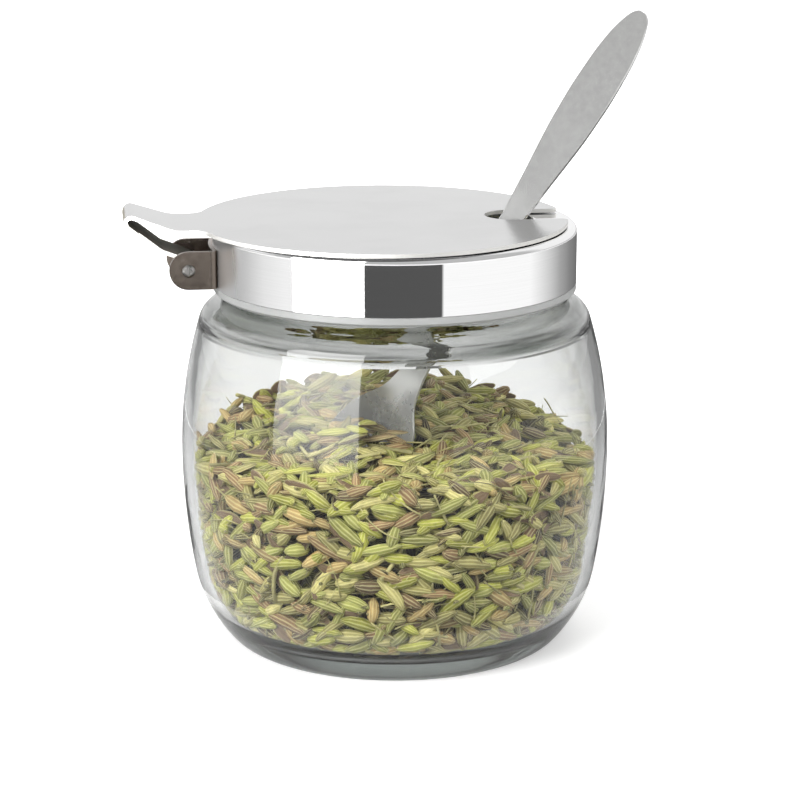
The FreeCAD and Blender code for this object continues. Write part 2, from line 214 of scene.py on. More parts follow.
def running_mean(at: Array, line: Array, values: Array, spread: Array) -> Array:
    """Soften values along a line: each result is their mean, weighed by a bell of its own width.

    Args:
        at: Where results are wanted.
        line: Where the values stand.
        values: The values, one or more columns.
        spread: Width of the bell for each result.

    Returns:
        The softened values.
    """
    weight = np.exp(-0.5 * ((at[:, None] - line) / spread[:, None]) ** 2)
    return weight / weight.sum(axis=1, keepdims=True) @ values


class Sketch:
    """Adds and joins the nodes of one node tree."""

    def __init__(self, tree: bpy.types.NodeTree) -> None:
        """Keep the tree to draw in."""
        self.tree = tree

    def fill(self, node: Node, inputs: dict) -> None:
        """Join sockets to a node's inputs, or set them to values, a colour with full opacity.

        Args:
            node: The node.
            inputs: Values or sockets by input name or number.
        """
        for key, value in inputs.items():
            if isinstance(value, Socket):
                self.tree.links.new(value, node.inputs[key])
            elif node.inputs[key].type == "RGBA":
                node.inputs[key].default_value = (*value, 1.0)
            else:
                node.inputs[key].default_value = value

    def add(self, kind: str, inputs: dict | None = None, **settings: object) -> Node:
        """Add a shader node, set it up, and join or fill its inputs.

        Args:
            kind: Blender's name of the node type, without its prefix.
            inputs: Values or sockets by input name or number.
            settings: Properties of the node.

        Returns:
            The node.
        """
        node = self.tree.nodes.new("ShaderNode" + kind)
        for key, value in settings.items():
            setattr(node, key, value)
        self.fill(node, inputs or {})
        return node

    def place(self) -> Socket:
        """Give the place on the object."""
        return self.add("TexCoord").outputs["Object"]

    def part(self, vector: Socket, axis: str) -> Socket:
        """Give a vector's part along X, Y or Z."""
        return self.add("SeparateXYZ", {0: vector}).outputs[axis]

    def stretched(self, vector: Socket, by: object) -> Socket:
        """Multiply a vector axis by axis."""
        return self.add("VectorMath", {0: vector, 1: by}, operation="MULTIPLY").outputs[0]

    def noise(self, where: Socket, scale: object, detail: float) -> Socket:
        """Give a noise value over a place."""
        return self.add("TexNoise", {"Vector": where, "Scale": scale, "Detail": detail}).outputs["Fac"]

    def ranged(self, value: Socket, start: Pair, end: Pair) -> Socket:
        """Carry a value from one range to another, held at its ends."""
        ends = {"From Min": start[0], "From Max": start[1], "To Min": end[0], "To Max": end[1]}
        return self.add("MapRange", {"Value": value, **ends}).outputs["Result"]

    def ranged_mm(self, length: Socket, start: Pair, end: Pair) -> Socket:
        """Carry a length from a range in millimetres to another range, held at its ends."""
        return self.ranged(length, (start[0] * MM, start[1] * MM), end)

    def maths(self, how: str, first: object, second: object = 0.0) -> Socket:
        """Join two values by a rule, or change one."""
        return self.add("Math", {0: first, 1: second}, operation=how).outputs[0]

    def times(self, first: object, second: object) -> Socket:
        """Multiply two values."""
        return self.maths("MULTIPLY", first, second)

    def plus(self, first: object, second: object) -> Socket:
        """Add two values."""
        return self.maths("ADD", first, second)

    def larger(self, first: object, second: object) -> Socket:
        """Take the larger of two values."""
        return self.maths("MAXIMUM", first, second)

    def blended(self, share: object, first: object, second: object) -> Socket:
        """Mix two colours by a share."""
        return self.add("Mix", {0: share, 6: first, 7: second}, data_type="RGBA").outputs[2]

    def bumped(self, height: Socket, depth: float, strength: float) -> Socket:
        """Turn a height into a normal."""
        fill = {"Height": height, "Distance": depth * MM, "Strength": strength}
        return self.add("Bump", fill).outputs["Normal"]


def blank_group(name: str, inputs: dict[str, str], outputs: tuple[str, ...]) -> tuple[Sketch, Node, Node]:
    """Start a shader node group with named sockets.

    Args:
        name: Name of the group.
        inputs: Socket type by input name.
        outputs: Names of the value outputs.

    Returns:
        A sketch of the group's tree, its input node and its output node.
    """
    tree = bpy.data.node_groups.new(name, "ShaderNodeTree")
    for label, kind in inputs.items():
        tree.interface.new_socket(label, in_out="INPUT", socket_type=kind)
    for label in outputs:
        tree.interface.new_socket(label, in_out="OUTPUT", socket_type="NodeSocketFloat")
    return Sketch(tree), tree.nodes.new("NodeGroupInput"), tree.nodes.new("NodeGroupOutput")


def handled_sheet() -> bpy.types.NodeTree:
    """Make the group for handled sheet metal: grain streaks, soft smudges and a height.

    Grain is noise over the place times a stretch, smudges are wide noise pushed to its ends, and
    the height is the grain with a little of the smudges.

    Returns:
        Tree of the group.
    """
    wanted = ("Grain", "Smudge", "Height")
    sketch, given, result = blank_group("handled_sheet", {"Stretch": "NodeSocketVector"}, wanted)
    place = sketch.place()
    grain = sketch.noise(sketch.stretched(place, given.outputs["Stretch"]), scale=1.0, detail=3.0)
    smudge = sketch.ranged(sketch.noise(place, scale=70.0, detail=3.0), start=(0.42, 0.66), end=RISING)
    height = sketch.plus(grain, sketch.times(smudge, 0.15))
    sketch.fill(result, dict(zip(wanted, (grain, smudge, height))))
    return sketch.tree


def moulded_skin() -> bpy.types.NodeTree:
    """Make the group for moulded and grown skins: wide mottling, fine grain and a height.

    Mottling and grain are noise at two scales that each finish sets, and the height is their sum.

    Returns:
        Tree of the group.
    """
    wanted = ("Mottle", "Grain", "Height")
    scales = {"Mottle Scale": "NodeSocketFloat", "Grain Scale": "NodeSocketFloat"}
    sketch, given, result = blank_group("moulded_skin", scales, wanted)
    place = sketch.place()
    mottle, grain = (sketch.noise(place, given.outputs[label], detail=2.0) for label in scales)
    sketch.fill(result, dict(zip(wanted, (mottle, grain, sketch.plus(mottle, grain)))))
    return sketch.tree


@dataclass
class Effects:
    """The node groups that several finishes share."""

    sheet: bpy.types.NodeTree = field(default_factory=handled_sheet)
    skin: bpy.types.NodeTree = field(default_factory=moulded_skin)


def new_material(name: str) -> tuple[Material, Sketch, Node]:
    """Start a material with one Principled shader.

    Args:
        name: Name of the finish.

    Returns:
        The material, a sketch of its tree and its shader.
    """
    material = bpy.data.materials.new(name)
    material.use_nodes = True
    return material, Sketch(material.node_tree), material.node_tree.nodes["Principled BSDF"]


@dataclass(frozen=True)
class DullAndShadedPart:
    """The part of a sheet below a sloping plane, z = level - slope times x, that is less polished, and
    whose own tint is painted shade where it is darker than the sheet's.
    """

    tint: Colour
    level: float
    slope: float
    fade: float = 0.4
    metal: float = 0.25
    rough: float = 0.4

    def mask(self, sketch: Sketch) -> Socket:
        """Work out how far below the plane a place lies.

        Args:
            sketch: Tree of the finish.

        Returns:
            A share that grows from nothing at the plane to one at the fade's depth.
        """
        place = sketch.place()
        rise = sketch.plus(sketch.part(place, "Z"), sketch.times(sketch.part(place, "X"), self.slope))
        return sketch.ranged_mm(rise, (self.level - self.fade, self.level), FALLING)


@dataclass(frozen=True)
class SteelFinish:
    """Stainless sheet: a tint, a range of roughness and the way that its grain runs."""

    name: str
    tint: Colour
    shade: Colour
    roughness: Pair
    brushing: Brushing
    relief: float
    dull_and_shade: DullAndShadedPart | None = None
    cut_edge_highlight: Colour | None = None
    cut_rough: float = 0.3
    cut_turn: Pair = (0.15, 0.3)
    grain_wear: float = 0.6
    smudge_wear: float = 0.4
    worn: Pair = (0.2, 0.8)
    bump: float = 0.5

    def material(self, effects: Effects) -> Material:
        """Build the finish.

        A stamped sheet may have a less polished part below a plane, whose tint is painted shade where it is
        darker than the sheet, and cut edges, which face sideways, whose bright colour is a painted
        highlight.

        Args:
            effects: Shared node groups.

        Returns:
            A metal whose colour, roughness and normal follow grain and smudges.
        """
        material, sketch, shader = new_material(self.name)
        sheet = sketch.add("Group", {"Stretch": self.brushing.value}, node_tree=effects.sheet)
        grain, smudge = sheet.outputs["Grain"], sheet.outputs["Smudge"]
        colour = sketch.blended(sketch.ranged(grain, NOISE_BAND, RISING), self.shade, self.tint)
        worn = sketch.plus(sketch.times(grain, self.grain_wear), sketch.times(smudge, self.smudge_wear))
        rough = sketch.ranged(worn, self.worn, self.roughness)
        metal: object = 1.0
        if self.dull_and_shade is not None:
            below = self.dull_and_shade.mask(sketch)
            # painted shade: below the plane the sheet takes the part's own tint, which on the lid's return
            # leg under the lever is dark where shade falls
            colour = sketch.blended(below, colour, self.dull_and_shade.tint)
            rough = sketch.plus(rough, sketch.times(below, self.dull_and_shade.rough))
            if self.dull_and_shade.metal < 1.0:
                metal = sketch.ranged(below, RISING, (1.0, self.dull_and_shade.metal))
        if self.cut_edge_highlight is not None:
            sideways = sketch.part(sketch.add("NewGeometry").outputs["Normal"], "Y")
            edge = sketch.ranged(sketch.maths("ABSOLUTE", sideways), self.cut_turn, RISING)
            # painted highlight: faces that look along Y, the sheet's cut edges, take the bright edge colour
            colour = sketch.blended(edge, colour, self.cut_edge_highlight)
            rough = sketch.plus(rough, sketch.times(edge, self.cut_rough))
            metal = sketch.larger(metal, edge)
        normal = sketch.bumped(sheet.outputs["Height"], self.relief, self.bump)
        sketch.fill(shader, {"Base Color": colour, "Roughness": rough, "Metallic": metal,
                             "Normal": normal, "Specular IOR Level": 0.0})
        return material


@dataclass(frozen=True)
class SoftFinish:
    """Moulded plastic or rubber that lets a little light into it."""

    name: str
    tint: Colour
    shade: Colour
    roughness: Pair
    inner_glow: float
    glow_depth: float = 2.0
    mottle_scale: float = 120.0
    grain_scale: float = 2500.0
    relief: float = 0.02
    bump: float = 0.4

    def material(self, effects: Effects) -> Material:
        """Build the finish.

        Args:
            effects: Shared node groups.

        Returns:
            A mottled soft skin.
        """
        material, sketch, shader = new_material(self.name)
        scales = {"Mottle Scale": self.mottle_scale, "Grain Scale": self.grain_scale}
        skin = sketch.add("Group", scales, node_tree=effects.skin)
        sketch.fill(shader, {"Base Color": sketch.blended(skin.outputs["Mottle"], self.shade, self.tint),
                             "Roughness": sketch.ranged(skin.outputs["Grain"], NOISE_BAND, self.roughness),
                             "Normal": sketch.bumped(skin.outputs["Height"], self.relief, self.bump),
                             "Subsurface Weight": self.inner_glow, "Subsurface Radius": grey(1.0),
                             "Subsurface Scale": self.glow_depth * MM})
        return material


@dataclass(frozen=True)
class GlassFinish:
    """Clear pressed glass that is slightly uneven, with streaks where it is drawn in, painted shade over
    that band and in its base, and grey with depth.
    """

    name: str = "clear_pressed_glass"
    tint: Colour = (0.975, 0.98, 0.978)
    depth_tint: Colour = (0.10, 0.16, 0.13)
    density: float = 24.0
    bend: float = 1.5
    mottle_scale: float = 38.0
    grain_scale: float = 90.0
    mottled: Pair = (0.5, 0.8)
    roughness: Pair = (0.0, 0.02)
    wave: float = 0.25
    wave_bump: float = 0.25
    streaks: Pair = (60.2, 68.0)
    streak_fade: float = 1.0
    streak_band: Pair = (0.35, 0.65)
    band_shade_depth: Pair = (0.4, 1.0)
    band_shade_tint: Colour = (0.12, 0.135, 0.12)
    streak_run: Colour = (22.0, 22.0, 420.0)
    streak_relief: float = 0.35
    lens: float = 0.36
    lens_inset: float = 1.8
    base: float = 5.0
    base_painted_shade: float = 0.42

    def material(self, effects: Effects) -> Material:
        """Build the finish.

        Between the two heights of the streaks the glass leans as a lens does: the bump's height
        falls with the square of the share of the way up.

        Args:
            effects: Shared node groups.

        Returns:
            A clear glass whose normal follows wide waves, which greys with its thickness, and whose colour
            holds painted shade in the shoulder band and the base.
        """
        material, sketch, shader = new_material(self.name)
        scales = {"Mottle Scale": self.mottle_scale, "Grain Scale": self.grain_scale}
        skin = sketch.add("Group", scales, node_tree=effects.skin)
        swallow = sketch.add("VolumeAbsorption", {"Color": self.depth_tint, "Density": self.density})
        sketch.fill(sketch.tree.nodes["Material Output"], {"Volume": swallow.outputs[0]})
        place = sketch.place()
        height = sketch.part(place, "Z")
        low, high = self.streaks
        within = sketch.times(sketch.ranged_mm(height, (low, low + self.streak_fade), RISING),
                              sketch.ranged_mm(height, (high - self.streak_fade, high), FALLING))
        grain = sketch.noise(sketch.stretched(place, self.streak_run), scale=1.0, detail=2.0)
        # painted shade: streaks in the shoulder band darken the glass's colour, standing in for the shade
        # that the thick shoulder shows
        painted_band_shade = sketch.times(sketch.ranged(grain, self.streak_band, self.band_shade_depth), within)
        # painted shade: the glass's colour darkens below the top of the base
        foot = sketch.ranged_mm(height, (self.base / 2, self.base), (self.base_painted_shade, 0.0))
        colour = sketch.blended(sketch.larger(painted_band_shade, foot), self.tint, self.band_shade_tint)
        share = sketch.ranged_mm(height, (low + self.lens_inset, high), RISING)
        lens = sketch.times(sketch.times(share, share), self.lens * (low - high) * MM)
        relief = sketch.times(sketch.times(grain, within), self.streak_relief * MM)
        waved = sketch.bumped(skin.outputs["Height"], self.wave, self.wave_bump)
        leaning = sketch.add("Bump", {"Height": sketch.plus(lens, relief), "Distance": 1.0,
                                      "Strength": 1.0, "Normal": waved})
        rough = sketch.ranged(skin.outputs["Mottle"], self.mottled, self.roughness)
        sketch.fill(shader, {"Base Color": colour, "Normal": leaning.outputs["Normal"], "Roughness": rough,
                             "Transmission Weight": 1.0, "IOR": self.bend})
        return material


@dataclass(frozen=True)
class SeedFinish:
    """Dry husk that takes its tint from each fruit's own colour."""

    name: str = "dry_fennel_husk"
    shade: Colour = (0.10, 0.07, 0.028)
    rib: Colour = (0.80, 0.75, 0.40)
    ribs: int = 10
    rib_share: float = 0.5
    furrow_share: float = 0.3
    fleck_share: float = 0.45
    rib_band: Pair = (0.1, 0.95)
    furrow_band: Pair = (-0.9, 0.2)
    fleck_band: Pair = (0.52, 0.8)
    fleck_scale: float = 600.0
    grain_scale: float = 4000.0
    roughness: Pair = (0.42, 0.7)
    relief: float = 0.16
    skin_relief: float = 0.4
    bump: float = 0.6

    def material(self, effects: Effects) -> Material:
        """Build the finish.

        Ribs are a cosine of the share round the fruit, as strong as the tint's opacity says.

        Args:
            effects: Shared node groups.

        Returns:
            A husk with the tint attribute, pale raised ribs, dark furrows and flecks, and a fine grain.
        """
        material, sketch, shader = new_material(self.name)
        tint = sketch.add("Attribute", attribute_name="seed_tint").outputs
        scales = {"Mottle Scale": self.fleck_scale, "Grain Scale": self.grain_scale}
        skin = sketch.add("Group", scales, node_tree=effects.skin)
        share = sketch.part(sketch.add("UVMap", uv_map="fruit_round").outputs["UV"], "X")
        wave = sketch.maths("COSINE", sketch.times(share, TURN * self.ribs))
        rib = sketch.times(sketch.ranged(wave, self.rib_band, RISING), tint["Alpha"])
        furrow = sketch.ranged(wave, self.furrow_band, (self.furrow_share, 0.0))
        furrow = sketch.times(furrow, tint["Alpha"])
        flecks = sketch.ranged(skin.outputs["Mottle"], self.fleck_band, (0.0, self.fleck_share))
        colour = sketch.blended(flecks, tint["Color"], self.shade)
        colour = sketch.blended(furrow, colour, self.shade)
        colour = sketch.blended(sketch.times(rib, self.rib_share), colour, self.rib)
        height = sketch.plus(rib, sketch.times(skin.outputs["Height"], self.skin_relief))
        sketch.fill(shader, {"Base Color": colour, "Normal": sketch.bumped(height, self.relief, self.bump),
                             "Roughness": sketch.ranged(skin.outputs["Grain"], NOISE_BAND, self.roughness)})
        return material


def dressed(node: str, material: Material) -> None:
    """Give a solid of the frame its finish.

    Args:
        node: Name of the solid.
        material: Its finish.
    """
    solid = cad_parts[node]
    solid.data.materials.clear()
    solid.data.materials.append(material)
    log.info("dressed %s with %s", node, material.name)


def new_piece(piece: Piece, body: str, material: Material) -> Piece:
    """Dress a new piece and set it on the body that carries it.

    Args:
        piece: The piece.
        body: Body of the frame that it moves with.
        material: Its finish.

    Returns:
        The piece.
    """
    piece.data.materials.append(material)
    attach(piece, body)
    log.info("made %s, %d faces, on %s", piece.name, len(piece.data.polygons), body)
    return piece


@dataclass
class GlassJar:
    """Pressed jar: the turned profile of the solid, with softened corners and a neck thread."""

    widest: Pair = (40.0, 37.0)
    heel: Pair = (37.95, 14.0)
    foot: Pair = (30.6, 0.0)
    shoulder: Pair = (35.9, 63.2)
    neck: Pair = (30.6, 66.7)
    rim: float = 77.3
    ring_width: float = 3.4
    recess_slope: float = 2.4
    recess: float = 1.2
    wall: float = 1.9
    floor: float = 5.0
    shoulder_wall: float = 2.2
    neck_wall: float = 2.5
    rim_bevel: float = 0.7
    softness: float = 0.2
    shoulder_softness: float = 1.0
    foot_softness: float = 0.5
    floor_softness: float = 2.4
    neck_softness: float = 0.5
    softness_reach: float = 2.5
    thread_height: float = 0.5
    thread_width: float = 0.75
    thread_start: float = 69.6
    thread_pitch: float = 4.2
    thread_turns: float = 1.25
    thread_fade: float = 0.06
    neck_margin: float = 0.1
    arc_points: int = 400
    dense_points: int = 2400
    margin: int = 300
    row_length: float = 0.62
    steps: int = 168
    finish: GlassFinish = GlassFinish()

    def circles(self) -> list[tuple[Array, float]]:
        """Work out the three circles of the side.

        Each touches the one above it, and passes through the named points: its radius is the
        chord squared over twice the chord's part along the inward normal.

        Returns:
            Centre and radius of the heel, lower and upper stretch.
        """
        found = []
        for at, through in ((self.widest, self.heel), (self.widest, self.shoulder)):
            chord = np.subtract(through, at)
            radius = chord @ chord / (2 * -chord[0])
            found.append((np.array([at[0] - radius, at[1]]), radius))
        inward = found[0][0] - self.heel
        inward = inward / np.linalg.norm(inward)
        chord = np.subtract(self.foot, self.heel)
        radius = chord @ chord / (2 * chord @ inward)
        return [(np.array(self.heel) + inward * radius, radius), *found]

    def arcs(self, inset: float, low: float, high: float) -> list[Array]:
        """Follow the three circles of the side between two heights, moved in by an inset.

        On each arc r is the centre's plus the root of radius squared less rise squared.

        Args:
            inset: Distance in from the outer side.
            low: Height of the first point.
            high: Height of the last point.

        Returns:
            Radius and height of each point of the heel, lower and upper stretch, from below.
        """
        ends = (low, self.heel[1], self.widest[1], high)
        found = []
        for (centre, radius), start, end in zip(self.circles(), ends, ends[1:]):
            height = np.linspace(start, end, self.arc_points)
            reach = np.sqrt(np.maximum((radius - inset) ** 2 - (height - centre[1]) ** 2, 0))
            found.append(np.stack([centre[0] + reach, height], axis=-1))
        return found

    def side(self, inset: float, low: float, high: float) -> Array:
        """Join the arcs of the side from below, with the points where they meet taken once."""
        heel, lower, upper = self.arcs(inset, low, high)
        return np.vstack([heel[:-1], lower[:-1], upper])

    def inner_radius(self, height: Array) -> Array:
        """Radius of the glass's inner wall at heights from the floor to the shoulder."""
        wall = np.vstack(self.arcs(self.wall, self.floor, self.shoulder[1] - 2))
        return np.interp(height, wall[:, 1], wall[:, 0])

    def sharp_profile(self) -> Array:
        """Trace the profile from the recess out, up the outside, over the rim and down to the floor.

        Returns:
            Radius and height of each point, with no point twice.
        """
        slope = np.subtract(self.neck, self.shoulder)
        slope = slope / np.linalg.norm(slope)
        square = np.array([-slope[1], slope[0]])
        under = self.shoulder + square * self.shoulder_wall
        bore = self.neck[0] - self.neck_wall
        neck_in = under + slope * ((bore - under[0]) / slope[0])
        upper = self.arcs(self.wall, self.floor, self.shoulder[1])[2]
        meets = upper[np.argmin(np.abs((upper - neck_in) @ square))]
        ring = self.foot[0] - self.ring_width
        bevel = self.rim - self.rim_bevel
        below = [(0.0, self.recess), (ring - self.recess_slope, self.recess), (ring, 0.0), self.foot]
        above = [self.neck, (self.neck[0], bevel), (self.neck[0] - self.rim_bevel, self.rim),
                 (bore + self.rim_bevel, self.rim), (bore, bevel), tuple(neck_in)]
        path = np.vstack([below, self.side(0.0, 0.0, self.shoulder[1]), above,
                          self.side(self.wall, self.floor, meets[1])[::-1], [(0.0, self.floor)]])
        return path[np.append(True, np.linalg.norm(np.diff(path, axis=0), axis=1) > 1e-6)]

    def profile(self) -> Array:
        """Soften the profile and cut it into rows of even length.

        Corners are softened by a running mean whose spread grows near the shoulder, the foot, the
        inner floor and the neck.  Beyond its two ends on the axis the profile goes on mirrored.

        Returns:
            Radius and height of each row.
        """
        path = self.sharp_profile()
        along = np.append(0, np.cumsum(np.linalg.norm(np.diff(path, axis=0), axis=1)))
        place = np.linspace(0, along[-1], self.dense_points)
        dense = read_along(place, along, path)
        spread = np.full(len(place), self.softness)
        floor_edge = self.side(self.wall, self.floor, self.shoulder[1])[0]
        for corner, width in ((self.shoulder, self.shoulder_softness), (self.foot, self.foot_softness),
                              (floor_edge, self.floor_softness), (self.neck, self.neck_softness)):
            near = np.linalg.norm(dense - corner, axis=1)
            spread += (width - self.softness) * np.exp(-(near / (self.softness_reach * width)) ** 2)
        before, after = np.s_[self.margin:0:-1], np.s_[-2:-2 - self.margin:-1]
        mirrored = np.vstack([dense[before] * [-1, 1], dense, dense[after] * [-1, 1]])
        line = np.concatenate([-place[before], place, 2 * place[-1] - place[after]])
        soft = running_mean(place, line, mirrored, spread)
        rows = read_along(np.linspace(0, along[-1], int(along[-1] / self.row_length)), place, soft)
        rows[[0, -1], 0] = 0.0
        return rows

    def floor_height(self, radius: Array) -> Array:
        """Read the inner floor off the profile, with the rounded corner where it meets the wall.

        Args:
            radius: Distances from the axis.

        Returns:
            Height of the floor at each.
        """
        rows = self.profile()
        inside = rows[np.argmax(rows[:, 1]):][::-1]
        inside = inside[inside[:, 1] < self.heel[1]]
        return np.interp(radius, inside[:, 0], inside[:, 1])

    def build(self, effects: Effects) -> None:
        """Turn the glass and raise the thread on its neck.

        The thread adds a rounded bead to the radius, where the height is near the helix
        z = start + pitch times turns, and runs out to nothing at its two ends.

        Args:
            effects: Shared node groups.
        """
        rows = self.profile()
        turn = np.linspace(0, 1, self.steps, endpoint=False)[None, :]
        radius = np.repeat(rows[:, :1], self.steps, axis=1)
        outside = np.abs(rows[:, :1] - self.neck[0]) < self.neck_margin
        for lap in range(int(np.ceil(self.thread_turns))):
            run = turn + lap
            ends = np.clip(np.minimum(run, self.thread_turns - run) / self.thread_fade, 0, 1)
            away = (rows[:, 1:] - self.thread_start - self.thread_pitch * run) / self.thread_width
            radius = radius + outside * ends * self.thread_height * np.exp(-away ** 4)
        glass = turned("glass_jar_turned", radius, rows[:, 1])
        jar = new_piece(glass, "jar", self.finish.material(effects))
        jar.visible_shadow = False
        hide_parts("glass_jar")


@dataclass
class SpoonPlace:
    """Where the spoon stands, and the room that it needs as it slides and lifts."""

    cross: tuple[float, float, float] = (22.2, 0.0, 80.0)
    lean: float = np.radians(32.3)
    turn: float = np.radians(35.0)
    bowl_start: float = 39.83
    bowl_length: float = 36.0
    bowl_width: float = 18.5
    bowl_depth: float = 5.0
    slide: float = 30.0
    lift: float = 12.0
    lift_steps: int = 7
    gap: float = 0.25

    def bowl_middle(self) -> float:
        """Distance of the bowl's middle below the lid's top."""
        return self.bowl_start + self.bowl_length / 2

    def frame(self) -> Array:
        """Work out the spoon's directions from how it leans and is turned.

        Returns:
            Rows along the handle, across it, and out of its hollow side.
        """
        along = np.array([np.sin(self.lean), 0, np.cos(self.lean)])
        aside = np.array([np.cos(self.lean), 0, -np.sin(self.lean)])
        out = np.array([0, -np.cos(self.turn), 0]) - aside * np.sin(self.turn)
        return np.stack([along, np.cross(out, along), out])

    def meets(self, points: Array, spare: float) -> Array:
        """Say which points the bowl passes through anywhere in its travel.

        A point is followed back along the lift, and then along the slide to where the bowl is
        nearest to its widest; there the bowl is half an ellipsoid under its rim.

        Args:
            points: Places, in any array that ends in three coordinates.
            spare: Room round the bowl, beyond the usual gap.

        Returns:
            True for each point that the bowl reaches.
        """
        gap = self.gap + spare
        middle = self.bowl_middle()
        hit = np.zeros(points.shape[:-1], bool)
        for lift in np.linspace(0, self.lift, self.lift_steps):
            local = (points - self.cross - UP * lift) @ self.frame().T
            below = np.clip(middle, -local[..., 0], -local[..., 0] + self.slide)
            lengthwise = (below - middle) / (self.bowl_length / 2 + gap)
            sideways = local[..., 1] / (self.bowl_width / 2 + gap)
            share = 1 - lengthwise ** 2 - sideways ** 2
            deep = self.bowl_depth * np.sqrt(np.maximum(share, 0))
            hit |= (share > 0) & (local[..., 2] < gap) & (local[..., 2] > -deep - gap)
        return hit


@dataclass(frozen=True)
class HeapTop:
    """Top of the heap: it rises to the back, falls to both sides, and is pushed up before the spoon."""

    middle: float = 39.0
    reach: float = 37.0
    falls: Pair = (3.2, 1.6)
    rises: Pair = (2.6, 0.6)
    mound: float = 5.8
    mound_at: Pair = (-10.5, -7.0)
    mound_size: Pair = (8.0, 5.5)
    cross_wave: tuple[float, float, float] = (0.5, 0.34, 0.29)
    slant_wave: tuple[float, float, float] = (0.35, 0.17, 0.23)

    def height(self, x: Array, y: Array) -> Array:
        """Add up the heap: squares of x for the falls, a bell for the mound, and two low waves.

        Args:
            x: Places towards the slot.
            y: Places towards the back.

        Returns:
            Height over each place.
        """
        fall = np.where(x > 0, *self.falls) * (x / self.reach) ** 2
        rise = np.where(y > 0, *self.rises) * y / self.reach
        across = (x - self.mound_at[0]) / self.mound_size[0]
        back = (y - self.mound_at[1]) / self.mound_size[1]
        mound = self.mound * np.exp(-across ** 2 - back ** 2)
        tall, by_x, by_y = self.cross_wave
        wave = tall * np.sin(by_x * x + 1) * np.cos(by_y * y)
        tall, by_x, by_y = self.slant_wave
        wave = wave + tall * np.sin(by_x * x - by_y * y)
        return self.middle + rise - fall + mound + wave


@dataclass(frozen=True)
class HuskTints:
    """Colours of the fruits and stalks, how far they vary, and the painted shade of the fruits deep in the
    heap.
    """

    tints: tuple[Colour, ...] = (
        (0.42, 0.435, 0.065), (0.33, 0.345, 0.085), (0.34, 0.31, 0.105), (0.44, 0.31, 0.12),
        (0.28, 0.17, 0.08), (0.13, 0.09, 0.05), (0.58, 0.53, 0.20))
    odds: tuple[float, ...] = (0.23, 0.19, 0.18, 0.15, 0.10, 0.05, 0.10)
    vary: Pair = (1.04, 2.05)
    body: float = 0.82
    tip_shade: float = 0.25
    split: Colour = (0.20, 0.13, 0.075)
    split_ribbed: float = 0.12
    rim: Colour = (0.40, 0.36, 0.17)
    rim_keeps: float = 0.4
    buried_shade: float = 0.4
    stalk: Colour = (0.50, 0.46, 0.20)
    stalk_vary: Pair = (0.5, 1.2)
    stalk_ribbed: float = 0.1


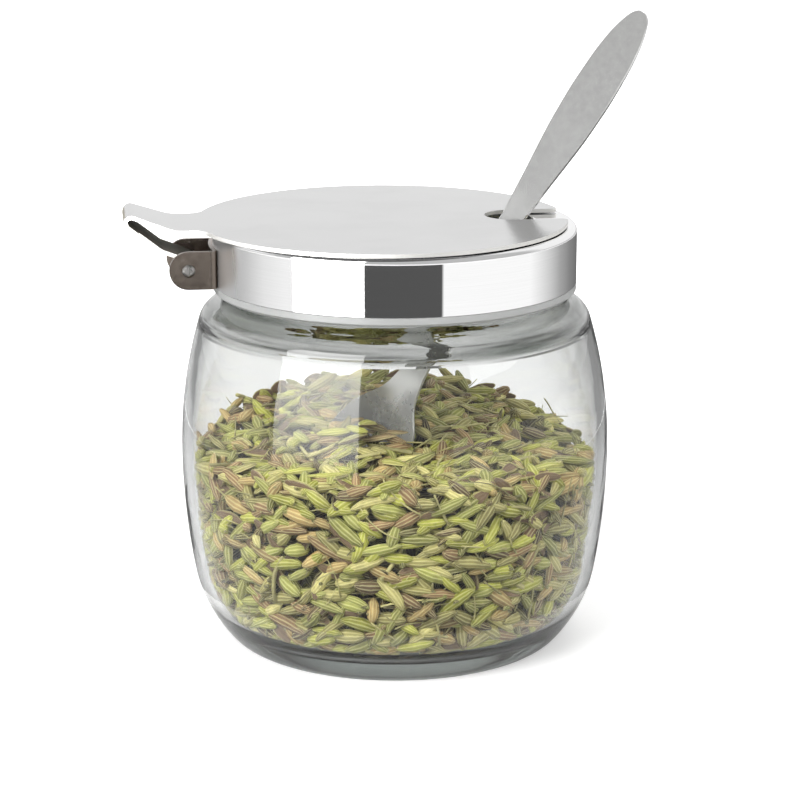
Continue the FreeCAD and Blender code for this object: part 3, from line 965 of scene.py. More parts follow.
@dataclass
class FennelSeeds:
    """Thousands of ribbed fruits that fill the lower jar, with a few dry stalks."""

    jar: GlassJar
    spoon: SpoonPlace
    heap: HeapTop = HeapTop()
    tint: HuskTints = HuskTints()
    finish: SeedFinish = SeedFinish()
    seed: int = 20
    against_wall: int = 1100
    on_top: int = 620
    on_floor: int = 380
    inside: int = 4200
    wall_heights: Pair = (6.0, 42.0)
    wall_inset: Pair = (1.3, 0.6)
    wall_turn: float = 0.55
    top_reach: float = 36.0
    top_sink: float = 0.9
    top_scatter: float = 0.5
    floor_reach: float = 32.0
    floor_rise: float = 1.3
    tilts: tuple[float, ...] = (0.24, 0.25, 0.12, 0.55)
    inside_tries: int = 8400
    inside_reach: float = 38.0
    inside_heights: Pair = (5.0, 47.0)
    inside_depth: float = 1.8
    inside_rise: float = 2.5
    lengths: Pair = (4.4, 8.8)
    widths: Pair = (1.8, 2.8)
    thickness: float = 0.42
    bluntness: Pair = (0.42, 0.62)
    bend: float = 0.028
    whole_share: float = 0.55
    turned_over: float = 0.25
    around: int = 8
    stations: tuple[float, ...] = (0.05, 0.22, 0.5, 0.78, 0.95)
    clearance: float = 0.12
    settle_rounds: int = 2
    proud: float = 1.9
    stalks: int = 420
    stalk_rows: int = 6
    stalk_sides: int = 4
    stalk_lengths: Pair = (5.0, 12.0)
    stalk_thickness: Pair = (0.14, 0.42)
    stalk_taper: float = 0.4
    stalk_curl: float = 0.05
    stalk_lift: float = 0.9
    stalk_room: float = 1.2

    def spread(self, count: int, sizes: int) -> Array:
        """Spread shares evenly over a square or cube, by adding powers of a fixed ratio.

        Args:
            count: How many.
            sizes: Two for a square, three for a cube.

        Returns:
            Shares from 0 to 1, one row each.
        """
        ratio = {2: 1.3247179572, 3: 1.2207440846}[sizes]
        steps = (1 / ratio) ** np.arange(1, sizes + 1)
        return (0.5 + np.arange(count)[:, None] * steps) % 1

    def disc(self, count: int, reach: float) -> tuple[Array, Array]:
        """Spread places evenly over a disc: the radius is the reach times the root of a share.

        Args:
            count: How many.
            reach: Radius of the disc.

        Returns:
            The places along X and along Y.
        """
        share, turn = self.spread(count, 2).T
        radius = reach * np.sqrt(share)
        return radius * np.cos(turn * TURN), radius * np.sin(turn * TURN)

    def places(self, rng: Chance) -> tuple[Array, Array, Array]:
        """Choose where each fruit lies, and how.

        Wall fruits lie flat on the glass, top fruits on the heap, floor fruits on the floor, and
        the rest fill the inside, lying mostly level.

        Args:
            rng: Source of chance, with a fixed seed.

        Returns:
            Middles, outward directions and angles in the plane that they lie in.
        """
        turn, share = self.spread(self.against_wall, 2).T
        low, high = self.wall_heights
        z = low + share * (high - low)
        inset, scatter = self.wall_inset
        radius = self.jar.inner_radius(z) - inset - scatter * rng.random(len(z))
        wall_out = np.stack([np.cos(turn * TURN), np.sin(turn * TURN), np.zeros_like(turn)], axis=-1)
        wall = wall_out * radius[:, None] + UP * z[:, None]
        x, y = self.disc(self.on_top, self.top_reach)
        z = self.heap.height(x, y) - self.top_sink + self.top_scatter * rng.standard_normal(len(x))
        top = np.stack([x, y, z], axis=-1)
        x, y = self.disc(self.on_floor, self.floor_reach)
        floor = np.stack([x, y, np.full(len(x), self.jar.floor + self.floor_rise)], axis=-1)
        reach, (low, high) = self.inside_reach, self.inside_heights
        cube = self.spread(self.inside_tries, 3) * [2 * reach, 2 * reach, high - low] - [reach, reach, -low]
        x, y, z = cube.T
        depth = np.minimum(self.jar.inner_radius(z) - np.hypot(x, y), self.heap.height(x, y) - z)
        inner = cube[(depth > self.inside_depth) & (z > self.jar.floor + self.inside_rise)][: self.inside]
        beds = (wall, top, floor, inner)
        ways = zip(beds, (wall_out, UP, -UP, UP), self.tilts)
        outward = np.vstack([way + tilt * rng.standard_normal(bed.shape) for bed, way, tilt in ways])
        outward /= np.linalg.norm(outward, axis=1, keepdims=True)
        angle = rng.random(len(outward)) * np.pi
        angle[: len(wall)] = self.wall_turn * rng.standard_normal(len(wall))
        return np.vstack(beds), outward, angle

    def fruit(self, rng: Chance, belly: Array) -> Array:
        """Shape the fruits in their own frames.

        Along the length the half width is a rounded spindle, the sine of the share to a power;
        round it the section is an ellipse, and a half fruit's belly is nearly flat.  The length
        bends a little.

        Args:
            rng: Source of chance, with a fixed seed.
            belly: Belly's share of the back, for each fruit.

        Returns:
            Points of every fruit.
        """
        count = len(belly)
        rows = np.array(self.stations)
        turn = np.arange(self.around) / self.around * TURN
        length = rng.uniform(*self.lengths, count)
        width = rng.uniform(*self.widths, count)[:, None, None]
        power = rng.uniform(*self.bluntness, count)[:, None, None]
        spindle = np.sin(np.pi * rows)[None, :, None] ** power
        side = spindle * np.cos(turn) * width / 2
        lift = spindle * np.sin(turn) * width * self.thickness
        lift = np.where(lift < 0, lift * belly[:, None, None], lift)
        along = np.broadcast_to((rows - 0.5)[None, :, None] * length[:, None, None], side.shape)
        body = np.stack([along, side, lift], axis=-1).reshape(count, -1, 3)
        tips = np.zeros((count, 2, 3))
        tips[..., 0] = np.outer(length, [-0.5, 0.5])
        points = np.concatenate([body, tips], axis=1)
        bend = rng.uniform(-self.bend, self.bend, (count, 2))
        points[..., 1:] += bend[:, None, :] * points[..., :1] ** 2
        return points

    def faces(self) -> tuple[Array, Array, Array]:
        """Number the faces of one fruit, and map them.

        Returns:
            Bands of quads, two fans at the tips, and for each corner in turn its share round
            and along the fruit.
        """
        around, rows = self.around, len(self.stations)
        station = np.array(self.stations)
        row, column = np.indices((rows - 1, around))
        step = np.arange(around)
        zero, one = np.zeros(around), np.ones(around)
        low, high = station[0] * one, station[-1] * one
        bands = ([column, column + 1, column + 1, column],
                 [station[row], station[row], station[row + 1], station[row + 1]])
        first = ([step + 0.5, step + 1, step], [zero, low, low])
        last = ([step, step + 1, step + 0.5], [high, high, one])
        mapped = [np.stack([np.stack(turn, -1) / around, np.stack(along, -1)], -1).reshape(-1, 2)
                  for turn, along in (bands, first, last)]
        return grid_faces(rows, around), end_fans(rows, around), np.concatenate(mapped)

    def tints(self, rng: Chance, belly: Array) -> Array:
        """Colour the points: a tint for each fruit, darker at its tips; a half is brown with a pale rim.

        Args:
            rng: Source of chance, with a fixed seed.
            belly: Belly's share of the back, for each fruit.

        Returns:
            Red, green and blue of every point, and how strongly it is ribbed.
        """
        count = len(belly)
        kinds = np.array(self.tint.tints)
        tint = kinds[rng.choice(len(kinds), count, p=self.tint.odds)]
        tint = tint * rng.uniform(*self.tint.vary, (count, 1))
        share = np.append(np.repeat(self.stations, self.around), [0.0, 1.0])
        end = np.abs(share - 0.5)[None, :, None] * 2
        colour = tint[:, None, :] * (self.tint.body - self.tint.tip_shade * end ** 3)
        ribbed = np.ones((count, len(share), 1))
        section = np.append(np.tile(np.arange(self.around), len(self.stations)), [0, 0])
        split = (belly == Form.HALF.value)[:, None]
        inner = split & (section > self.around // 2)[None, :]
        rim = split & (section % (self.around // 2) == 0)[None, :]
        colour[inner] = self.tint.split
        colour[rim] = colour[rim] * self.tint.rim_keeps + self.tint.rim
        ribbed[inner] = self.tint.split_ribbed
        return np.concatenate([np.clip(colour, 0, 1), ribbed], axis=-1)

    def settled(self, points: Array) -> Array:
        """Push each shape in from the glass wall and up from the floor, by as much as it reaches past them.

        Args:
            points: Points of every shape.

        Returns:
            The points, moved.
        """
        for _ in range(self.settle_rounds):
            radius = np.hypot(points[..., 0], points[..., 1])
            past = (radius - self.jar.inner_radius(points[..., 2]) + self.clearance).max(axis=1)
            inward = -points.mean(axis=1)[:, :2]
            inward /= np.linalg.norm(inward, axis=1, keepdims=True) + 1e-9
            points[..., :2] += (np.maximum(past, 0)[:, None] * inward)[:, None, :]
        floor = self.jar.floor_height(np.hypot(points[..., 0], points[..., 1]))
        low = (floor + self.clearance - points[..., 2]).max(axis=1)
        points[..., 2] += np.maximum(low, 0)[:, None]
        return points

    def laid(self, shapes: Array, middles: Array, outward: Array, angle: Array) -> Array:
        """Carry shapes to their places: the length lies square to outward, turned by the angle.

        Args:
            shapes: Points of every shape in its own frame.
            middles: Where each goes.
            outward: Which way its back faces.
            angle: Turn of its length from level.

        Returns:
            Points of every shape in the jar.
        """
        level = np.cross(UP + 1e-4, outward)
        flat = np.linalg.norm(level, axis=1, keepdims=True)
        level = np.where(flat > 0.05, level / np.maximum(flat, 1e-9), np.array([1.0, 0.0, 0.0]))
        level -= outward * (level * outward).sum(axis=1, keepdims=True)
        level /= np.linalg.norm(level, axis=1, keepdims=True)
        turn = angle[:, None]
        along = level * np.cos(turn) + np.cross(outward, level) * np.sin(turn)
        axes = np.stack([along, np.cross(outward, along), outward], axis=1)
        return middles[:, None, :] + shapes @ axes

    def free(self, points: Array, spare: float) -> Array:
        """Say which shapes keep clear of the spoon's travel and don't stand far out of the heap."""
        proud = (points[..., 2] - self.heap.height(points[..., 0], points[..., 1])).max(axis=1)
        return ~self.spoon.meets(points, spare).any(axis=1) & (proud < self.proud)

    def stalk_shapes(self, rng: Chance) -> Array:
        """Shape stalks: a thin square tube along a bent line, tapering to its end.

        Args:
            rng: Source of chance, with a fixed seed.

        Returns:
            Points of every stalk in its own frame.
        """
        rows = np.linspace(0, 1, self.stalk_rows)[None, :, None]
        turn = np.arange(self.stalk_sides) / self.stalk_sides * TURN
        length = rng.uniform(*self.stalk_lengths, self.stalks)[:, None, None]
        thin, more = self.stalk_thickness
        thick = (thin + more * rng.random(self.stalks) ** 3)[:, None, None] * (1 - self.stalk_taper * rows)
        along = (rows - 0.5) * length
        curl = rng.uniform(-self.stalk_curl, self.stalk_curl, (self.stalks, 1, 1)) * along ** 2
        tube = np.broadcast_arrays(along, curl + thick * np.cos(turn), thick * np.sin(turn))
        return np.stack(tube, axis=-1).reshape(self.stalks, -1, 3)

    def piece(self, name: str, points: Array, colours: Array, faces: tuple[Array, Array, Array],
              material: Material) -> Piece:
        """Gather many copies of one shape into a piece that rides on the jar.

        Args:
            name: Name of the piece.
            points: Points of every copy.
            colours: Colour of every point.
            faces: Quads and triangles of one copy, and the map of their corners in turn.
            material: Finish.

        Returns:
            The piece.
        """
        quads, triangles, mapped = faces
        first = (np.arange(len(points)) * points.shape[1])[:, None, None]
        made = made_mesh(name, points, (first + quads).reshape(-1, 4), (first + triangles).reshape(-1, 3))
        tint = made.data.attributes.new("seed_tint", "FLOAT_COLOR", "POINT")
        tint.data.foreach_set("color", colours.astype(np.float32).ravel())
        corners = [np.tile(part, (len(points), 1)) for part in (mapped[: quads.size], mapped[quads.size:])]
        layer = made.data.uv_layers.new(name="fruit_round")
        layer.data.foreach_set("uv", np.concatenate(corners).astype(np.float32).ravel())
        return new_piece(made, "jar", material)

    def build(self, effects: Effects) -> None:
        """Fill the jar with fruits and stalks, clear of the glass and of the spoon's travel.

        Args:
            effects: Shared node groups.
        """
        rng = np.random.default_rng(self.seed)
        material = self.finish.material(effects)
        middles, outward, angle = self.places(rng)
        whole = rng.random(len(middles)) < self.whole_share
        belly = np.where(whole, Form.WHOLE.value, Form.HALF.value)
        over = ~whole & (rng.random(len(middles)) < self.turned_over)
        facing = np.where(over[:, None], -outward, outward)
        points = self.settled(self.laid(self.fruit(rng, belly), middles, facing, angle))
        colours = self.tints(rng, belly)
        # painted shade: fruits deep inside the heap are darkened, as little light reaches them
        colours[self.against_wall + self.on_top + self.on_floor:, :, :3] *= self.tint.buried_shade
        free = self.free(points, 0.0)
        points, colours = points[free], colours[free]
        parts = np.array_split(np.argsort(points.mean(axis=1)[:, 2]), 3)
        faces = self.faces()
        for layer, chosen in zip(("low", "middle", "top"), parts):
            made = self.piece("fennel_seeds_" + layer, points[chosen], colours[chosen], faces, material)
            if layer == "top":
                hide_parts("fennel_seeds")
        self.build_stalks(rng, material, middles, outward)

    def build_stalks(self, rng: Chance, material: Material, middles: Array, outward: Array) -> None:
        """Lay stalks among the fruits that lie on the glass and on the heap.

        Args:
            rng: Source of chance, with a fixed seed.
            material: Finish of the fruits.
            middles: Places of the fruits.
            outward: Outward directions of the fruits.
        """
        chosen = rng.choice(self.against_wall + self.on_top, self.stalks, replace=False)
        facing = outward[chosen]
        places = middles[chosen] + self.stalk_lift * facing
        shapes = self.stalk_shapes(rng)
        points = self.settled(self.laid(shapes, places, facing, rng.random(self.stalks) * np.pi))
        tint = np.array(self.tint.stalk) * rng.uniform(*self.tint.stalk_vary, (self.stalks, 1))
        plain = np.insert(tint, 3, self.tint.stalk_ribbed, axis=1)
        colours = np.repeat(plain[:, None, :], points.shape[1], axis=1)
        free = self.free(points, self.stalk_room)
        cap = np.arange(self.stalk_sides)
        caps = [cap[::-1], cap + (self.stalk_rows - 1) * self.stalk_sides]
        quads = np.vstack([grid_faces(self.stalk_rows, self.stalk_sides), caps])
        faces = (quads, NO_TRIANGLES, np.zeros((quads.size, 2)))
        self.piece("fennel_stalks", points[free], colours[free], faces, material)


@dataclass
class CollarSet:
    """Mirror collar, milky liner, sealing ring, hinge bracket and pin."""

    outside: float = 33.65
    bottom: float = 68.45
    top: float = 79.1
    sheet: float = 0.6
    mouth: float = 26.0
    lip: float = 1.6
    top_round: float = 1.1
    mouth_round: float = 0.35
    bottom_round: float = 0.12
    inner_round: float = 0.1
    steps: int = 240
    steel: SteelFinish = SteelFinish(
        "mirror_steel", grey(0.89), grey(0.85), (0.02, 0.06), Brushing.AROUND, 0.0004,
        dull_and_shade=DullAndShadedPart(grey(0.86), -205.0, 10.0, fade=40.0, metal=1.0, rough=0.34))
    hinge: SteelFinish = SteelFinish(
        "hinge_steel", (0.335, 0.285, 0.245), (0.305, 0.255, 0.215), (0.2, 0.3), Brushing.CLOUDED, 0.0002)
    rivet: SteelFinish = SteelFinish(
        "pin_steel", (0.58, 0.57, 0.55), (0.5, 0.49, 0.47), (0.22, 0.32), Brushing.CLOUDED, 0.0004)
    liner: SoftFinish = SoftFinish(
        "milky_plastic", (0.40, 0.405, 0.40), (0.34, 0.345, 0.34), (0.28, 0.4), inner_glow=0.15)
    seal: SoftFinish = SoftFinish(
        "clear_silicone", (0.66, 0.665, 0.66), (0.58, 0.585, 0.58), (0.4, 0.55), inner_glow=0.3)

    def ring(self) -> Piece:
        """Turn the collar's section, a sheet with rounded edges, about the Z axis.

        Returns:
            The closed ring.
        """
        inside, under, lip = self.outside - self.sheet, self.top - self.sheet, self.mouth + self.sheet
        edge = self.top - self.lip
        corners = [(inside, self.bottom), (self.outside, self.bottom), (self.outside, self.top),
                   (self.mouth, self.top), (self.mouth, edge), (lip, edge), (lip, under), (inside, under)]
        radii = [self.inner_round, self.bottom_round, self.top_round, self.mouth_round]
        loop = rounded_loop(corners, radii + [self.inner_round] * 4)
        points = round_axis(np.repeat(loop[:, :1], self.steps, axis=1), loop[:, 1:])
        return made_mesh("collar_turned", points, grid_faces(len(loop), self.steps, closed_rows=True))

    def build(self, effects: Effects) -> None:
        """Turn the collar and dress the solids of the set.

        Args:
            effects: Shared node groups.
        """
        collar = new_piece(self.ring(), "collar_set", self.steel.material(effects))
        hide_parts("collar")
        dressed("thread_liner", self.liner.material(effects))
        dressed("sealing_ring", self.seal.material(effects))
        dressed("hinge_bracket", self.hinge.material(effects))
        dressed("hinge_pin", self.rivet.material(effects))


@dataclass
class HingedLid:
    """Flat satin lid with its thumb lever, return leg and knuckle."""

    # The bright edge colour paints a highlight on the cut edges that face front and back.
    # The dark tint below the plane paints shade on the return leg under the lever.
    finish: SteelFinish = SteelFinish(
        "satin_steel", grey(0.615), grey(0.585), (0.16, 0.25), Brushing.ALONG_X, 0.0008,
        dull_and_shade=DullAndShadedPart((0.28, 0.265, 0.23), 55.3, 0.545), cut_edge_highlight=(0.95, 0.94, 0.91))

    def build(self, effects: Effects) -> None:
        """Dress the lid."""
        dressed("lid", self.finish.material(effects))


@dataclass
class Spoon:
    """Spoon pressed from sheet: a flat handle whose lower end runs smoothly into the bowl."""

    place: SpoonPlace
    sheet: float = 1.0
    above: float = 44.0
    paddle: float = 8.3
    ease_before: float = 5.0
    ease_run: float = 22.0
    station_shares: tuple[float, ...] = (0.017, 0.064, 0.122, 0.214, 0.305, 0.429, 0.531, 0.68, 0.86,
                                         0.93, 0.98, 1.02, 1.05)
    width_shares: tuple[float, ...] = (0.455, 0.77, 0.93, 1.0, 0.94, 0.69, 0.5, 0.43, 0.44,
                                       0.52, 0.71, 0.95, 1.12)
    softness: Pair = (0.02, 1.3)
    softness_run: float = 3.0
    end_angle: float = 0.06
    line_points: int = 1200
    rows: int = 240
    columns: int = 25
    finish: SteelFinish = SteelFinish(
        "spoon_steel", (0.80, 0.80, 0.79), (0.75, 0.75, 0.74), (0.13, 0.2), Brushing.CLOUDED, 0.0008,
        dull_and_shade=DullAndShadedPart((0.80, 0.80, 0.78), 78.0, 0.0, fade=7.0, metal=0.74, rough=0.12))

    def half_width(self, below: Array) -> Array:
        """Half width of the sheet at distances below the lid's top.

        The paddle's tip is a round end.  The bowl's rim is the line where two arcs as deep as the
        bowl, one along it and one across, meet its plane.  The wider of handle and bowl counts,
        and a running mean softens where they join.

        Args:
            below: Distances, negative above the lid.

        Returns:
            Half width at each.
        """
        place, depth = self.place, self.place.bowl_depth
        stations = np.append(0.0, self.station_shares) * (self.above + place.bowl_start) - self.above
        widths = np.append(0.0, self.width_shares) * self.paddle / 2
        line = np.linspace(-self.above, place.bowl_start + place.bowl_length, self.line_points)
        handle = np.sqrt(np.interp(line, stations, widths ** 2)) * (line < stations[-1])
        spans = (place.bowl_length, place.bowl_width)
        along, across = ((span / 2) ** 2 / (2 * depth) + depth / 2 for span in spans)
        from_middle = line - place.bowl_middle()
        tilt = np.hypot(from_middle, along - depth) - (along - across)
        in_bowl = np.abs(from_middle) < place.bowl_length / 2
        bowl = np.sqrt(np.maximum(across ** 2 - tilt ** 2, 0)) * in_bowl
        from_end = np.minimum(line + self.above, line[-1] - line)
        spread = np.clip(from_end / self.softness_run, *self.softness)
        return np.interp(below, line, running_mean(line, line, np.maximum(handle, bowl), spread))

    def hollow(self, below: Array, across: Array) -> Array:
        """Press the hollow: it eases in along the neck, and is a round dish across and towards the tip.

        Args:
            below: Distances below the lid's top.
            across: Shares of the half width.

        Returns:
            Depth at each.
        """
        place = self.place
        ease = np.clip((below - place.bowl_start + self.ease_before) / self.ease_run, 0, 1)
        ease = ease * ease * (3 - 2 * ease)
        past = np.maximum(below - place.bowl_middle(), 0) / (place.bowl_length / 2)
        tip = np.sqrt(np.clip(1 - past ** 2, 0, 1))
        return (place.bowl_depth - self.sheet) * ease * tip * (1 - across ** 2)

    def build(self, effects: Effects) -> None:
        """Make the sheet: rows along the spoon, each a loop over its front and back.

        Args:
            effects: Shared node groups.
        """
        place = self.place
        sweep = 0.5 - 0.5 * np.cos(np.linspace(self.end_angle, np.pi - self.end_angle, self.rows))
        below = (-self.above + sweep * (self.above + place.bowl_start + place.bowl_length))[:, None]
        share = np.sin(np.linspace(-np.pi / 2, np.pi / 2, self.columns))[None, :]
        wide = self.half_width(below) * share
        front = -self.hollow(below, share)
        side = np.concatenate([wide, wide[:, ::-1]], axis=1)[..., None]
        out = np.concatenate([front, (front - self.sheet)[:, ::-1]], axis=1)[..., None]
        along, aside, normal = place.frame()
        points = np.array(place.cross) - below[..., None] * along + side * aside + out * normal
        loop = 2 * self.columns
        step = np.arange(self.columns - 1)
        cap = np.stack([step, loop - 1 - step, loop - 2 - step, step + 1], axis=-1)
        quads = np.vstack([grid_faces(self.rows, loop), cap, (self.rows - 1) * loop + cap[:, ::-1]])
        piece = made_mesh("spoon_pressed", points, quads)
        new_piece(piece, "spoon_body", self.finish.material(effects))
        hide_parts("spoon")


@dataclass(frozen=True)
class SoftLamp:
    """A square soft lamp: degrees round from the front and above the floor, distance, side and watts."""

    name: str
    azimuth: float
    elevation: float
    distance: float
    side: float
    power: float


@dataclass(frozen=True)
class Card:
    """A card bent round the jar: its radius, two ends in degrees round from the front, and two edges."""

    name: str
    radius: float
    azimuths: Pair
    heights: Pair
    corner: float
    columns: int = 97
    straight_rows: int = 12
    corner_rows: int = 10
    corner_start: float = 0.1

    def build(self) -> Piece:
        """Make part of a cylinder whose upper corners are rounded: it narrows as a quarter circle does.

        Returns:
            The card, seen only by reflections.
        """
        low, high = self.heights
        straight = high - self.corner
        bend = np.linspace(self.corner_start, np.pi / 2, self.corner_rows)
        top = straight + self.corner * np.sin(bend)
        rise = np.append(np.linspace(low, straight, self.straight_rows), top)
        into = self.corner - np.sqrt(np.maximum(self.corner ** 2 - np.maximum(rise - straight, 0) ** 2, 0))
        start, end = np.radians(self.azimuths)
        half = (end - start) / 2 - into / self.radius
        angle = (start + end) / 2 + np.linspace(-1, 1, self.columns) * half[:, None]
        height = np.broadcast_to(rise[:, None], angle.shape)
        points = np.stack([self.radius * np.sin(angle), -self.radius * np.cos(angle), height], axis=-1)
        quads = grid_faces(*angle.shape, closed_columns=False)[:, ::-1]
        return only_reflected(made_mesh(self.name, points, quads))


def only_reflected(piece: Piece) -> Piece:
    """Hide a piece of the studio from all rays but reflections.

    Args:
        piece: The piece.

    Returns:
        The piece, as part of the stage.
    """
    for ray in ("camera", "diffuse", "transmission", "volume_scatter", "shadow"):
        setattr(piece, "visible_" + ray, False)
    return piece


@dataclass
class Studio:
    """Camera, pale floor, soft lamps, and the cards that polished steel and glass show."""

    azimuth: float = -7.0
    elevation: float = 15.143
    distance: float = 506.6
    aim: float = 40.0
    lens: float = 120.95
    sensor: float = 36.0
    shift: Pair = (0.0066, 0.033)
    clip: Pair = (0.02, 50.0)
    room_light: float = 0.55
    room_mirrored: float = 0.56
    room_bent: float = 0.28
    room_front: Pair = (-0.1, 0.15)
    room_behind: Pair = (0.7, 0.9)
    floor_half: float = 6000.0
    floor_tint: float = 0.86
    floor_bent: float = 0.29
    floor_rough: float = 0.8
    floor_under: Pair = (30.0, 46.0)
    floor_beside: Pair = (75.0, 150.0)
    floor_before: Pair = (-60.0, -20.0)
    floor_clears: Pair = (120.0, 420.0)
    floor_shine: float = 0.3
    flag_radii: Pair = (46.0, 205.0)
    flag_height: float = 0.2
    flag_tint: float = 0.16
    flag_rough: float = 0.9
    flag_steps: int = 96
    lamps: tuple[SoftLamp, ...] = (SoftLamp("key_lamp", -48.0, 42.0, 800.0, 420.0, 6.0),
                                   SoftLamp("fill_lamp", 55.0, 30.0, 900.0, 600.0, 3.0),
                                   SoftLamp("back_lamp", 170.0, 55.0, 800.0, 500.0, 1.8))
    ring: Card = Card("studio_ring", 210.0, (-187.0, 173.0), (0.0, 44.0), 0.5)
    ring_levels: tuple[Pair, ...] = (
        (-174, 0.5), (-140, 0.25), (-115, 0.5), (-90.01, 0.88), (-89.99, 0.88), (-74, 1.0),
        (-26, 1.0), (-25.5, 0.095), (20, 0.1), (20.5, 1.1), (80, 1.08), (96, 0.75),
        (112, 0.42), (128, 0.26), (150, 0.16), (172, 0.4))
    window: Card = Card("studio_window", 175.0, (-67.0, -24.0), (8.0, 200.0), 14.0)
    window_rise: Pair = (10.0, 85.0)
    window_shine: Pair = (2.8, 9.0)
    window_foot: Pair = (8.0, 30.0)
    window_upper: Pair = (118.0, 124.0)
    window_far: Pair = (190.0, 198.0)
    window_again: float = 0.16

    def aimed(self, name: str, data: bpy.types.ID, azimuth: float, elevation: float,
              distance: float) -> Piece:
        """Set a camera or lamp so that it faces the jar.

        Args:
            name: Its name.
            data: The camera or lamp.
            azimuth: Degrees round from the front.
            elevation: Degrees above the floor.
            distance: Millimetres from the jar's middle.

        Returns:
            The object, linked to the scene.
        """
        a, e = np.radians(azimuth), np.radians(elevation)
        back = Vector((np.sin(a) * np.cos(e), -np.cos(a) * np.cos(e), np.sin(e)))
        made = bpy.data.objects.new(name, data)
        made.location = (Vector((0, 0, self.aim)) + back * distance) * MM
        made.rotation_euler = (-back).to_track_quat("-Z", "Y").to_euler()
        bpy.context.scene.collection.objects.link(made)
        return made

    def build_camera(self) -> None:
        """Set the camera at the photograph's angle."""
        data = bpy.data.cameras.new("camera")
        data.lens = self.lens
        data.sensor_width = self.sensor
        data.shift_x, data.shift_y = self.shift
        data.clip_start, data.clip_end = self.clip
        camera = self.aimed("camera", data, self.azimuth, self.elevation, self.distance)
        bpy.context.scene.camera = camera

    def build_lamps(self) -> None:
        """Hang the soft lamps, which reflections don't show."""
        for lamp in self.lamps:
            data = bpy.data.lights.new(lamp.name, "AREA")
            data.size = lamp.side * MM
            data.energy = lamp.power
            made = self.aimed(lamp.name, data, lamp.azimuth, lamp.elevation, lamp.distance)
            made.visible_glossy = False

    def build_world(self) -> None:
        """Light softly from all round, and show white where camera, metal and glass look past the floor.

        Reflections show a greyer room in front, and glass a dark one except straight behind it.
        """
        world = bpy.data.worlds.new("soft_room")
        world.use_nodes = True
        bpy.context.scene.world = world
        sketch = Sketch(world.node_tree)
        shown = sketch.tree.nodes["Background"]
        light = sketch.add("Background", {"Color": grey(1.0), "Strength": self.room_light})
        path = sketch.add("LightPath").outputs
        bent, mirrored = path["Is Transmission Ray"], path["Is Glossy Ray"]
        seen = sketch.larger(sketch.larger(path["Is Camera Ray"], bent), mirrored)
        back = sketch.part(sketch.add("TexCoord").outputs["Generated"], "Y")
        front = sketch.times(sketch.ranged(back, self.room_front, FALLING), mirrored)
        aside = sketch.times(sketch.ranged(back, self.room_behind, FALLING), bent)
        shaded = sketch.blended(front, grey(1.0), grey(self.room_mirrored))
        sketch.fill(shown, {"Color": sketch.blended(aside, shaded, grey(self.room_bent))})
        mixed = sketch.add("MixShader", {0: seen, 1: light.outputs[0], 2: shown.outputs[0]})
        sketch.fill(sketch.tree.nodes["World Output"], {"Surface": mixed.outputs[0]})

    def build_floor(self) -> None:
        """Lay a pale floor that keeps the shadow.

        Glass shows it dark under the jar, far to the sides and in front, as a dim room would be.
        """
        points = self.floor_half * np.array([[-1, -1, 0], [1, -1, 0], [1, 1, 0], [-1, 1, 0]])
        floor = made_mesh("floor", points, np.array([[0, 1, 2, 3]]))
        material, sketch, shader = new_material("pale_floor")
        path = sketch.add("LightPath").outputs
        place = sketch.place()
        away = sketch.add("VectorMath", {0: place}, operation="LENGTH").outputs["Value"]
        aside = sketch.maths("ABSOLUTE", sketch.part(place, "X"))
        under = sketch.ranged_mm(away, self.floor_under, FALLING)
        beside = sketch.ranged_mm(aside, self.floor_beside, RISING)
        before = sketch.ranged_mm(sketch.part(place, "Y"), self.floor_before, FALLING)
        dark = sketch.larger(under, sketch.larger(beside, before))
        dark = sketch.times(dark, path["Is Transmission Ray"])
        colour = sketch.blended(dark, grey(self.floor_tint), grey(self.floor_bent))
        shine = sketch.ranged_mm(away, self.floor_clears, (self.floor_shine, 1.0))
        sketch.fill(shader, {"Base Color": colour, "Roughness": self.floor_rough,
                             "Specular IOR Level": 0.0, "Emission Color": grey(1.0),
                             "Emission Strength": sketch.times(path["Is Camera Ray"], shine)})
        floor.data.materials.append(material)

    def glow(self, sketch: Sketch, colour: object, strength: object, hidden: object) -> None:
        """Let a card shine from its inner side alone, where it isn't hidden.

        Args:
            sketch: Tree of its material.
            colour: Colour or socket.
            strength: Strength or socket.
            hidden: How clear the card is, or a socket.
        """
        shine = sketch.add("Emission", {"Color": colour, "Strength": strength})
        clear = sketch.add("BsdfTransparent")
        back = sketch.larger(sketch.add("NewGeometry").outputs["Backfacing"], hidden)
        mixed = sketch.add("MixShader", {0: back, 1: shine.outputs[0], 2: clear.outputs[0]})
        sketch.fill(sketch.tree.nodes["Material Output"], {"Surface": mixed.outputs[0]})

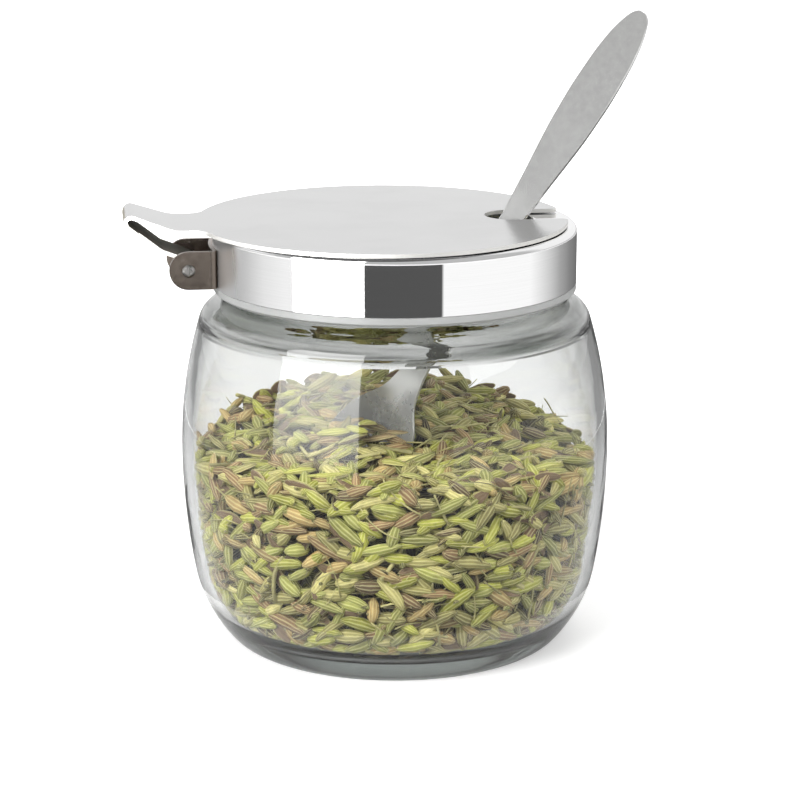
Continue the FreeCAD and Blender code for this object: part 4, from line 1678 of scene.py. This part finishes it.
    def build_ring(self) -> None:
        """Stand a low ring that shades from white to dark round the jar."""
        material, sketch, _ = new_material(self.ring.name)
        turn = sketch.add("TexGradient", {"Vector": sketch.place()}, gradient_type="RADIAL").outputs["Fac"]
        ramp = sketch.add("ValToRGB", {"Fac": turn})
        stops = sorted(((azimuth / 360 + 0.25) % 1, level) for azimuth, level in self.ring_levels)
        bands = ramp.color_ramp.elements
        for at, _ in stops[1:-1]:
            bands.new(at)
        for band, (at, level) in zip(bands, stops):
            band.position, band.color = at, (*grey(level), 1.0)
        self.glow(sketch, ramp.outputs["Color"], 1.0, 0.0)
        self.ring.build().data.materials.append(material)

    def build_window(self) -> None:
        """Stand a bright window, dim after the first bounce, whose upper part only near things show."""
        material, sketch, _ = new_material(self.window.name)
        height = sketch.part(sketch.place(), "Z")
        path = sketch.add("LightPath").outputs
        first = sketch.ranged(path["Ray Depth"], (1.0, 2.0), (1.0, self.window_again))
        upper = sketch.ranged_mm(height, self.window_upper, RISING)
        far = sketch.ranged_mm(path["Ray Length"], self.window_far, RISING)
        shine = sketch.times(sketch.ranged_mm(height, self.window_rise, self.window_shine), first)
        shine = sketch.times(shine, sketch.ranged_mm(height, self.window_foot, RISING))
        self.glow(sketch, grey(1.0), shine, sketch.times(upper, far))
        window = self.window.build()
        window.visible_transmission = True
        window.data.materials.append(material)

    def build_flag(self) -> None:
        """Lay a dark ring on the floor, which only reflections see, so that the glass keeps its depth."""
        radii = np.repeat(np.array(self.flag_radii)[:, None], self.flag_steps, axis=1)
        quads = grid_faces(*radii.shape)[:, ::-1]
        flag = only_reflected(made_mesh("studio_flag", round_axis(radii, self.flag_height), quads))
        material, sketch, shader = new_material("studio_flag")
        sketch.fill(shader, {"Base Color": grey(self.flag_tint), "Roughness": self.flag_rough})
        flag.data.materials.append(material)

    def build(self) -> None:
        """Build the whole studio."""
        self.build_camera()
        self.build_world()
        self.build_floor()
        self.build_lamps()
        self.build_ring()
        self.build_flag()
        self.build_window()
        bpy.context.scene.view_settings.view_transform = "Standard"
        log.info("made the studio")


def main() -> None:
    """Build the sub-assemblies in order and dress them."""
    logging.basicConfig(level=logging.INFO, format="%(message)s")
    effects = Effects()
    jar = GlassJar()
    place = SpoonPlace()
    parts = (jar, FennelSeeds(jar, place), CollarSet(), HingedLid(), Spoon(place))
    for part in parts:
        part.build(effects)
        log.info("finished %s", type(part).__name__)
    Studio().build()


if __name__ == "__main__":
    main()
